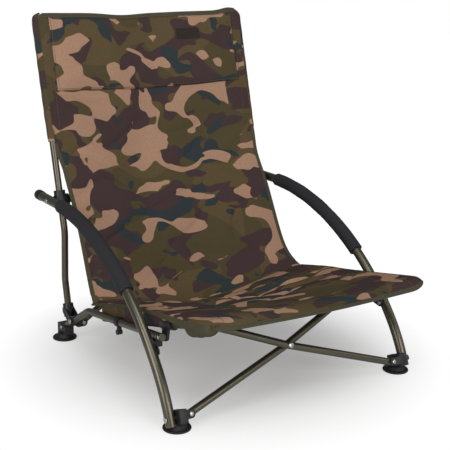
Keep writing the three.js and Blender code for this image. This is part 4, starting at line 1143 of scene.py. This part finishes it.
seat_hems.append(sew("seat_hem_stitches", SEAT_BODY, seat_point, [
    cross_row(7.5 / SEAT_RUN, 120, 0.03, 0.97),
    *side_rows((4.2 / SEAT_WIDTH, 110, 0.02, 0.98), (0.085, 24, 0.012, 0.12)),
]))
for (word, side), back_side in zip(SIDES, back_sides):
    inboard = (0, -side / BACK_WIDTH)
    back_hems.append(tape(f"back_{word}_hem", back_point, back_side, inboard, 9, BACK_BODY))
top_row, inboard = cross_row(1.0, *TOP_EDGE), (-1 / BACK_LENGTH, 0)
back_hems.append(tape("back_top_hem", back_point, top_row, inboard, 10, BACK_BODY))
back_hems.append(sew("back_hem_stitches", BACK_BODY, back_point, [
    cross_row(1 - 8 / BACK_LENGTH, 120, 0.03, 0.97),
    *side_rows((7 / BACK_WIDTH, 90, 0.03, SLEEVE_V), (19 / BACK_WIDTH, 90, SLEEVE_V, 0.98)),
]))

# The crease: the seat's rear edge and the back's lower edge are sewn together
# in one turned seam, a soft roll of doubled cloth right across the chair.
ROLL_STEPS, ROLL_R, ROLL_SIDES = 140, 3.1, 14
roll_rings = []
for k, u in enumerate(spread(ROLL_STEPS, 0.003, 0.997)):
    centre = (seat_point(1.0, u) + back_point(0.0, u)) / 2
    radius = (ROLL_R + 0.5 * math.sin(k * 0.9) * math.sin(k * 0.37)) * MM
    radius *= 0.5 if k in (0, ROLL_STEPS) else 1
    roll_rings.append(circle_ring(centre, Y_AXIS, Z_AXIS, radius, ROLL_SIDES))
roll = flat_uv(ring_mesh(roll_rings), X_AXIS)
seam = place_piece(roll, "crease_seam", camo_cloth, BACK_BODY, None, 60)
back_hems.append(seam)

# The head panel: a thin pad covered in the same camouflage, sewn to the front of
# the back's upper end along its foot and its sides, so its middle stands proud.
HEAD_LOW, HEAD_TOP_V, HEAD_INSET, HEAD_LIFT, HEAD_CROWN = 590, 0.985, 26 / UPRIGHT_X / 2, 1.4, 9.5
HEAD_LOW_V = 1 - (SLEEVE_HIGH - HEAD_LOW) / SLIDE.z / BACK_LENGTH


def head_place(v, u):
    sagging = 2.2 * wrinkle(u * 6, 4.0, 0.5) - 5 * math.sin(math.pi * u)
    low = HEAD_LOW_V + sagging / BACK_LENGTH
    return low + (HEAD_TOP_V - low) * v, HEAD_INSET + (1 - 2 * HEAD_INSET) * u


def head_front(v, u):
    crown = min(1, 6 * v * (1 - v)) ** 0.6 * min(1, 9 * u * (1 - u)) ** 0.6
    puff = 1.6 * wrinkle(u * 9, v * 5, 3.3) * crown
    puff += 2.2 * wrinkle(u * 24, v * 2, 8.1) * math.exp(-v / 0.16) * min(1, 8 * v)
    return back_point(*head_place(v, u), forward=2 * HEAD_LIFT + HEAD_CROWN * crown + puff)


def head_back(v, u):
    return back_point(*head_place(v, u), forward=HEAD_LIFT)


def pad_mesh(rows, columns, front, back):
    """A closed pad between two surfaces, with its front's flat measure as a UV map."""
    count = columns + 1
    base = (rows + 1) * count
    places = [(i / rows, j / columns) for i in range(rows + 1) for j in range(count)]
    points = [surface(*place) for surface in (front, back) for place in places]
    quads = []
    for a in (i * count + j for i in range(rows) for j in range(columns)):
        quads.append((a, a + 1, a + count + 1, a + count))
        quads.append((base + a, base + a + count, base + a + count + 1, base + a + 1))
    rim = list(range(columns)) + [i * count + columns for i in range(rows)]
    rim += [base - 1 - a for a in rim]
    for a, b in zip(rim, rim[1:] + rim[:1]):
        quads.append((a, base + a, base + b, b))
    mesh = closed_mesh(points, quads)
    width = (front(0.5, 1) - front(0.5, 0)).length
    height = (front(1, 0.5) - front(0, 0.5)).length
    layer = mesh.uv_layers.new(name="cloth")
    for loop in mesh.loops:
        i, j = divmod(loop.vertex_index % base, count)
        layer.data[loop.index].uv = (j / columns * width, i / rows * height)
    return mesh


head_mesh = pad_mesh(44, 120, head_front, head_back)
head_panel = place_piece(
    head_mesh, "head_panel", camo_panel, "left_back_frame", "headrest_panel", 70
)
back_hems.append(sew("head_panel_stitches", BACK_BODY, head_front, [
    cross_row(0.022, 120, 0.01, 0.99), *side_rows((0.007, 44, 0.02, 0.98)),
], 0.3))

# The label: a small plain patch of dark woven cloth, left bare, sewn flat on
# the head panel's upper right.
LABEL_V, LABEL_U, LABEL_TALL, LABEL_WIDE, LABEL_PROBE = 0.66, 0.672, 0.15, 0.125, 0.01


def label_face(lift):
    def point(v, u):
        place = LABEL_V + LABEL_TALL * v, LABEL_U + LABEL_WIDE * u
        return lifted(head_front, *place, lift, LABEL_PROBE)
    return point


label_cloth = woven_material("label_cloth", srgb(52, 45, 40), 0.0008)
label_mesh = pad_mesh(10, 24, label_face(0.9), label_face(0.1))
bare_label = place_piece(
    label_mesh, "bare_label", label_cloth, "left_back_frame", None, 60
)

# The front corner pockets: heavy olive cloth cups, sewn under the seat's front
# corners, that take the noses of the rails and hold the seat forward.
RAIL_WAY = (at(0, *RAIL_NOSE) - at(0, *RAIL_REAR)).normalized()
RAIL_UP = RAIL_WAY.cross(X_AXIS)
POCKET_BACK, POCKET_FROM, POCKET_SWEEP = -66, math.radians(34), math.radians(232)
POCKET_BORE, POCKET_OUTER, POCKET_INNER, POCKET_RISE = 9.7, 17.6, 10.6, 13
POCKET_SIZES = {"left": (13, 20), "right": (4, 6)}


def pocket_point(side, deep, nose, v, u):
    """The pocket's cloth: along the rail by v, round under it from outer to inner lip by u."""
    along = POCKET_BACK + (nose - POCKET_BACK) * v
    angle = POCKET_FROM - POCKET_SWEEP * u
    outward, upward = math.cos(angle), math.sin(angle)
    ends = (1 - abs(2 * v - 1) ** 7) ** 0.5
    closing = 0.35 + 0.65 * ends
    hanging = (deep * (1 - 0.5 * v) + 1.5 * wrinkle(v * 5, side, 1.0)) * ends
    depth = (POCKET_BORE + hanging) * closing
    reach = (POCKET_OUTER if outward > 0 else POCKET_INNER * (1 + 0.9 * v)) * closing
    rise = -depth * (-upward) ** 0.8 if upward < 0 else POCKET_RISE * upward
    aside = X_AXIS * (side * (RAIL_X + reach * outward) * MM)
    return at(0, *RAIL_NOSE) + RAIL_WAY * along * MM + aside + RAIL_UP * (rise * MM)


for word, side in SIDES:
    sizes = POCKET_SIZES[word]
    made, pocket_flat = cloth_mesh(
        44, 26, lambda v, u: pocket_point(side, *sizes, v, u), CLOTH_THICK
    )
    cup = place_piece(
        made, f"{word}_pocket_cup", olive_tape, f"{word}_seat_frame", f"{word}_seat_pocket",
        60
    )

# The rail channels: the seat's camouflage cloth runs down from each side hem
# and round the rail, and is sewn back to itself, open where the clip sits.
CHANNEL_REAR, CHANNEL_RUN, CHANNEL_R, CHANNEL_THICK, CHANNEL_DROP = 372, 300, 8.9, 1.2, 0.3
CHANNEL_FROM, CHANNEL_SWEEP, CHANNEL_IN, CHANNEL_UNDER = math.radians(28), math.radians(235), 2.5, 4


def channel_point(side, v, u):
    """The channel's cloth: forward by v, down from the hem and round the rail by u."""
    y = CHANNEL_REAR - CHANNEL_RUN * v
    hem = SEAT_HALF + SEAT_SPREAD * spread_at(y) ** 2
    angle = CHANNEL_FROM - CHANNEL_SWEEP * max(0, u - CHANNEL_DROP) / (1 - CHANNEL_DROP)
    reach = CHANNEL_R + 0.35 * wrinkle(v * 16, 3 * math.cos(angle), side)
    x, z = RAIL_X + reach * math.cos(angle), rail_z(y) + reach * math.sin(angle)
    share = max(0, 1 - u / CHANNEL_DROP)
    bulge = 2.5 * wrinkle(v * 9, side, 6.0) * math.sin(math.pi * share)
    down = (seat_edge_z(y) - CHANNEL_UNDER - z) * share
    return at(side * (x + (hem - CHANNEL_IN - x) * share + bulge), y, z + down)


for word, side in SIDES:
    made, channel_flat = cloth_mesh(90, 34, lambda v, u: channel_point(side, v, u), CHANNEL_THICK)
    channel = place_piece(
        made, f"{word}_rail_channel", camo_cloth, f"{word}_seat_frame", None, 60
    )

# The sleeves' piping: a thin olive roll of tape sewn down each sleeve's outer
# edge, from the back's side binding up and over the sleeve's closed top.
PIPING_R, PIPING_SIDES, PIPING_TOP_V, PIPING_STEPS, OVER_STEPS = 2.3, 12, 0.935, 60, 6
OVER_START, OVER_REACH, OVER_BACK, OVER_RISE, OVER_Z = 9, 16, 1.5, 10.5, 756.5
SLEEVE_THICK = 1.4


def sleeve_binding(side):
    """The piping's mesh: up the sleeve's outer edge, then inwards over its top."""
    foot, outer = back_point(SLEEVE_V, (1 + side) / 2), math.pi / 2 / SLEEVE_SWEEP
    level = Vector((0, SLIDE.z, -SLIDE.y))
    rings = []
    for v in spread(PIPING_STEPS, 0, PIPING_TOP_V):
        spot = foot.lerp(sleeve_point(side, v, outer), min(1, 9 * v))
        rings.append(circle_ring(spot, X_AXIS, level, PIPING_R * MM, PIPING_SIDES))
    for share in spread(OVER_STEPS)[1:]:
        x = UPRIGHT_X + OVER_START - OVER_REACH * share
        y = upright_y(BACK_TIP[1]) - OVER_BACK * share
        spot = at(side * x, y, OVER_Z + OVER_RISE * math.sin(math.pi / 2 * share))
        tilt = Z_AXIS.lerp(X_AXIS * side, 1 - share).normalized()
        rings.append(circle_ring(spot, tilt, Y_AXIS, PIPING_R * MM, PIPING_SIDES))
    return flat_uv(ring_mesh(rings), X_AXIS)


sleeves = []
for word, side in SIDES:
    made, sleeve_flat = cloth_mesh(90, 28, lambda v, u: sleeve_point(side, v, u), SLEEVE_THICK)
    sleeve = place_piece(
        made, f"{word}_pole_sleeve", camo_cloth, f"{word}_back_frame", None, 60
    )
    binding = place_piece(
        sleeve_binding(side), f"{word}_sleeve_binding", olive_tape, f"{word}_back_frame", None,
        60
    )
    sleeves += [sleeve, binding]

# Folded, the real cloth crumples between the side frames, and the pole sleeves gather
# upwards ahead of the hubs; here each cloth piece only gets its own copy of its mesh.
for piece in [seat_cloth, *seat_hems]:
    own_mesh(piece)
for piece in [back_cloth, *back_hems, head_panel, bare_label]:
    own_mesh(piece)
for sleeve in sleeves:
    tuple(at(0, upright_y(SLEEVE_HIGH), SLEEVE_HIGH))
    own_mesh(sleeve)
